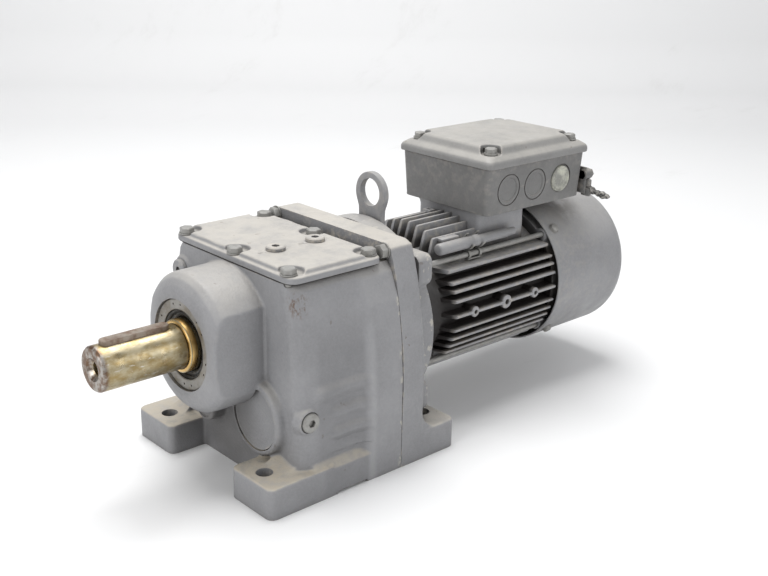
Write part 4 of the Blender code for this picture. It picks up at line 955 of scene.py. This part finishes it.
def terminal_box():
    """Box with knock-outs in both long sides, one of them opened and closed again by a bright plug."""
    def outline(inset, radius):
        return rounded(349.6 + inset, 480.6 - inset, inset - 54.4, 54.4 - inset, radius)

    case = tower("terminal_case", [(178.4, outline(2.5, 5)), (178.9, outline(2.1, 5.5)),
                                   (181.2, outline(2.0, 6)), (219.6, outline(0, 6)), (220.4, outline(0.5, 6))])
    cutters = [block("room", (354, -50, 182), (476, 50, 240)),
               block("window", (367, -26, 150), (408, 26, 190))]
    for x in ENTRY_X:
        for side in (-1, 1):
            if side < 0 and x == PLUGGED_X:
                opening = [(-60, 0), (-60, 14.2), (-52.6, 13.8), (-52.6, 12.6), (-44, 12.6), (-44, 0)]
                cutters.append(turned("entry", opening, (x, ENTRY_Z), 64, 'Y'))
            else:
                cutters += knock_out(x, side)
    carve(case, cutters, 'EXACT')
    posts = [pin("post", 181, 220.0, 6.5, spot, 24, 'Z') for spot in LID_SCREWS]
    for post, spot in zip(posts, LID_SCREWS):
        carve(post, [pin("thread", 200, 230, 3.0, spot, 20, 'Z')], 'EXACT')
    piece = merge("terminal_case", [case] + posts, 32)
    dress(piece, PAINT_BOX, "grey_paint", "terminal_box")
    plug = solid("entry_plug_disc", [(-53.3, 9.8), (-53.9, 10.3), (-54.2, 11.6), (-53.4, 12.2),
                                      (-48.4, 12.2)], (PLUGGED_X, ENTRY_Z), 64, 'Y')
    dress(plug, PLUG_BRIGHT, "bright_plug", "entry_plug")


def knock_out(x, side):
    """Cutters for the groove and dish of one knock-out, leaning with the wall of the box."""
    groove = [(-1.1, 13.4), (4, 13.2), (4, 14.8), (-1.1, 14.4)]
    dish = [(-0.9, 0), (-0.9, 10.2), (0.2, 11.2), (4, 11.2), (4, 0)]
    tools = [turned(name, [(side * 53.5 + side * out, r) for out, r in profile], (x, ENTRY_Z), 64, 'Y')
             for name, profile in (("groove", groove), ("dish", dish))]
    for tool in tools:
        for vertex in tool.data.vertices:
            vertex.co.y += side * (vertex.co.z - ENTRY_Z * MM) * WALL_LEAN
    return tools


def terminal_lid():
    """Lid with a raised middle and round notches for its screws."""
    def outline(inset, radius):
        return rounded(347.5 + inset, 482.9 - inset, inset - 57.4, 57.4 - inset, radius * 0.7)

    lid = tower("lid", [(219, outline(0.5, 8)), (222.0, outline(0, 8)), (225.0, outline(0.1, 8)),
                        (227.2, outline(1.2, 8)), (229.4, outline(4.2, 8)), (231.0, outline(6.6, 8)),
                        (236.2, outline(9.6, 7)), (237.6, outline(11.4, 7)), (238.0, outline(13.6, 6))])
    notches = [solid("notch", [(230.6, 8.6), (242, 10.6)], spot, 48, 'Z')
               for spot in LID_SCREWS]
    machined = [block("under", (330, -70, 200), (500, 70, 220.7)),
                block("hollow", (362, -36, 210), (468.4, 36, 235))]
    machined += [pin("hole", 210, 240, 3.0, spot, 24, 'Z') for spot in LID_SCREWS]
    piece = cast("lid_casting", [lid], 0.8, 3, notches, machined)
    dress(piece, PAINT_LID, "grey_paint_lid", "terminal_lid")
    for i, (x, y) in enumerate(LID_SCREWS):
        screw = hex_head(f"lid_bolt_{i + 1}", (x, y, 231.1), 'Z', 9.6, 5.6, 1.6, 2.6, 22)
        dress(screw, SCREW, "zinc_plated", f"lid_screw_{i + 1}")


def earth_clamp():
    """Clamp block with its screw on the box wall, and the stub of a torn cable in it."""
    shapes = [block("plate", (480.9, -56.5, 180), (483.2, -43, 205), 0.6),
              block("jaw", (483.0, -59.5, 186.5), (487.6, -46.5, 193.5), 1.2),
              block("jaw", (483.0, -60.5, 177.5), (486.4, -50.5, 184.6), 1.0),
              pin("washer", 480, 488.6, 5.6, (-52.5, 197.6), 40),
              solid("screw", [(480, 4.6), (492.6, 4.6), (493.6, 3.6)], (-52.5, 197.6), 6)]
    piece = merge("earth_clamp_jaws", shapes, 32)
    dress(piece, PAINT_BOX, "grey_paint", "earth_clamp")
    rings = []
    for i in range(25):
        t = i / 24
        y, z = -55.0 - 26.0 * t, 184.8 - 3.8 * t - 1.2 * math.sin(3.0 * t)
        radius = 3.1 + 0.5 * math.sin(11 * t) + 0.35 * math.sin(29 * t) - 1.3 * t**5
        rings.append([(486.8 + radius * math.cos(a), y, z + radius * math.sin(a))
                      for a in (2 * math.pi * k / 20 for k in range(20))])
    stub = finish("torn_stub", skin(rings))
    dress(stub, TORN, "seal_rubber")


def tie_rods():
    """Long rods through the motor's corners, each with its nut behind the end shield."""
    for i, spot in enumerate(TIE_SPOTS):
        nut = solid("nut", [(449.4, 3.6), (449.8, 4.2), (452.6, 4.2), (453, 3.6)], spot, 6)
        shaft = solid("shaft", [(258, 1.9), (258.6, 2.5), (453.4, 2.5), (454, 1.9)], spot, 24)
        piece = merge(f"tie_bolt_{i + 1}", [shaft, nut], 32)
        dress(piece, SCREW, "zinc_plated", f"tie_rod_{i + 1}")


def release_lever():
    """Brake release lever, and the spring clip that stores it beside the upper tie rod."""
    centre = (-45.0, 157.0)
    handle = turned("release_lever_bar", [
        (300, 0), (300, 3.4), (300.8, 4.6), (302.2, 5.2), (341, 5.2), (341.6, 4.7), (344.2, 4.7),
        (344.8, 5.2), (349, 5.2), (349.8, 4.3), (386, 4.2), (387, 3.5), (396.5, 3.4), (397.5, 2.6),
        (397.5, 0)], centre, 64)
    dress(handle, PAINT_SHEET, "zinc_plated", "release_lever", body="lever")
    shapes = [block("bridge", (336.2, -47.6, 141.6), (351.8, -42.2, 142.6), 0.2)]
    for x in (336.2, 349.4):
        end = x + 2.4
        shapes.append(open_band(x, end, centre, 5.5, 6.5, 5.0))
        shapes.append(turned("loop", [(x, 2.9), (x, 3.9), (end, 3.9), (end, 2.9)], TIE_SPOTS[0], 40))
    piece = merge("lever_clip_bands", shapes, 32)
    dress(piece, SCREW, "zinc_plated", "lever_clip")


def open_band(x0, x1, centre, inner, outer, jaws):
    """Thin half band round an axis line, open up and out; jaws run on straight at both ends."""
    lift = Vector((-1, 1)).normalized() * jaws
    inside, outside = (arc(*centre, radius, 225, 405, 32) for radius in (inner, outer))
    for band in (inside, outside):
        band.insert(0, (band[0][0] + lift.x, band[0][1] + lift.y))
        band.append((band[-1][0] + lift.x, band[-1][1] + lift.y))
    outline = inside + outside[::-1]
    return loft("jaw", [(x0, outline), (x1, outline)])


def end_shield():
    """Rear end shield of the motor, with a lug round each tie rod."""
    shapes = [turned("disc", [(436.3, 22.3), (436.3, 62), (448.6, 62), (449, 61.4), (449, 22.3)],
                     MOTOR_AXIS, 96)]
    for sy, sz in CORNERS:
        centre = (sy * TIE_Y * 0.96, MOTOR_Z + sz * TIE_Y * 0.96)
        shapes.append(solid("lug", [(436.8, 6.3), (437.4, 7.0), (445.6, 7.0), (446.2, 6.4)],
                             centre, 40))
    machined = [pin("hole", 430, 460, 2.9, spot, 24) for spot in TIE_SPOTS]
    piece = cast("end_shield_casting", shapes, 0.9, 2, machined=machined)
    dress(piece, PAINT_FINS, "cast", "rear_end_shield")


KEPT = {
    STEEL: ["output_wheel", "output_bearing_front", "output_bearing_rear", "pinion_shaft",
            "intermediate_wheel", "lay_bearing_front", "lay_bearing_rear", "rotor",
            "motor_bearing_front", "motor_bearing_rear", "brake_coil", "brake_pressure_plate"],
    COPPER: ["stator_core"],
    PLASTIC: ["fan", "terminal_block"],
    LINING: ["brake_disc"],
    DARK: ["cover_gasket"],
}


def carried_over():
    """Materials for the inner CAD nodes whose shapes stay as they are."""
    for material, names in KEPT.items():
        for name in names:
            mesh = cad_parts[name].data
            mesh.materials.clear()
            mesh.materials.append(material)


# ---------------------------------------------------------------- room, light and camera

FOCAL_PIXELS, IMAGE_WIDTH = 1098.14, 768.0
CAMERA_AT = (-0.6053, -0.6705, 0.43385)

def room():
    """Pale table top that runs up into a pale wall, square to the camera; metres."""
    bm = bmesh.new()
    rows = [(-2.2, 0.0), (1.35, 0.0), (1.6, 0.03), (1.72, 0.14), (1.76, 0.4), (1.76, 2.6)]
    away = Vector((0.637, 0.771, 0)).normalized()
    side = Vector((away.y, -away.x, 0))
    strips = [[bm.verts.new(away * d + side * s + Vector((0, 0, z))) for s in (-3.2, 3.2)] for d, z in rows]
    for a, b in zip(strips, strips[1:]):
        bm.faces.new((a[0], a[1], b[1], b[0]))
    mesh = bpy.data.meshes.new("table_and_wall")
    bm.to_mesh(mesh)
    bm.free()
    floor = bpy.data.objects.new("table_and_wall", mesh)
    bpy.context.scene.collection.objects.link(floor)
    mesh.shade_smooth()
    n = Nodes("pale_table")
    streak = n.ramp(n.noise(3.5, 8, 0.75, (1, 2.5, 1)), 0.56, 0.75, 0.0, 0.35)
    n.link(n.mix(streak, (0.83, 0.83, 0.83), (0.68, 0.675, 0.66)), n.shader.inputs["Base Color"])
    n.shader.inputs["Roughness"].default_value = 0.55
    mesh.materials.append(n.material)


def light(name, spot, aim, size, power):
    """Round soft light at a spot, turned to aim at a point."""
    data = bpy.data.lights.new(name, 'AREA')
    data.shape = 'DISK'
    data.size = size
    data.energy = power
    lamp = bpy.data.objects.new(name, data)
    bpy.context.scene.collection.objects.link(lamp)
    lamp.location = spot
    lamp.rotation_euler = (Vector(aim) - Vector(spot)).to_track_quat('-Z', 'Y').to_euler()


def lights():
    """Even studio light: a pale world, a soft light overhead and two weak ones from the left and front."""
    world = bpy.data.worlds.new("studio")
    bpy.context.scene.world = world
    world.use_nodes = True
    background = world.node_tree.nodes["Background"]
    background.inputs["Color"].default_value = (0.97, 0.98, 1.0, 1.0)
    background.inputs["Strength"].default_value = 0.44
    light("overhead", (0.1, 0.35, 1.8), (0.0, 0.0, 0.0), 1.3, 30)
    light("left_window", (-1.7, -0.1, 0.9), (0.0, 0.0, 0.1), 1.2, 12)
    light("front_fill", (0.5, -1.8, 1.0), (0.0, 0.0, 0.1), 1.3, 9)


def camera():
    """Camera at the photograph's viewing angle, as fitted to its straight edges and circles."""
    azimuth, elevation, roll = (math.radians(angle) for angle in (-42.46, 19.33, 1.16))
    data = bpy.data.cameras.new("camera")
    data.sensor_width = 36.0
    data.lens = FOCAL_PIXELS * data.sensor_width / IMAGE_WIDTH
    data.clip_start = 0.01
    eye = bpy.data.objects.new("camera", data)
    bpy.context.scene.collection.objects.link(eye)
    forward = Vector((-math.sin(azimuth) * math.cos(elevation), math.cos(azimuth) * math.cos(elevation),
                      -math.sin(elevation)))
    right = Vector((math.cos(azimuth), math.sin(azimuth), 0))
    up = right.cross(forward)
    right, up = (right * math.cos(roll) + up * math.sin(roll), up * math.cos(roll) - right * math.sin(roll))
    turn = Matrix((right, up, -forward)).transposed()
    eye.matrix_world = Matrix.Translation(CAMERA_AT) @ turn.to_4x4()
    bpy.context.scene.camera = eye


def main():
    """Build everything."""
    bpy.context.scene.view_settings.view_transform = 'Standard'
    room()
    lights()
    camera()
    gearcase()
    rear_plate()
    top_cover()
    gear_unit_details()
    seal()
    output_shaft()
    motor_flange()
    stator_housing()
    lifting_eye()
    fan_cover()
    terminal_box()
    terminal_lid()
    earth_clamp()
    tie_rods()
    release_lever()
    end_shield()
    carried_over()


main()
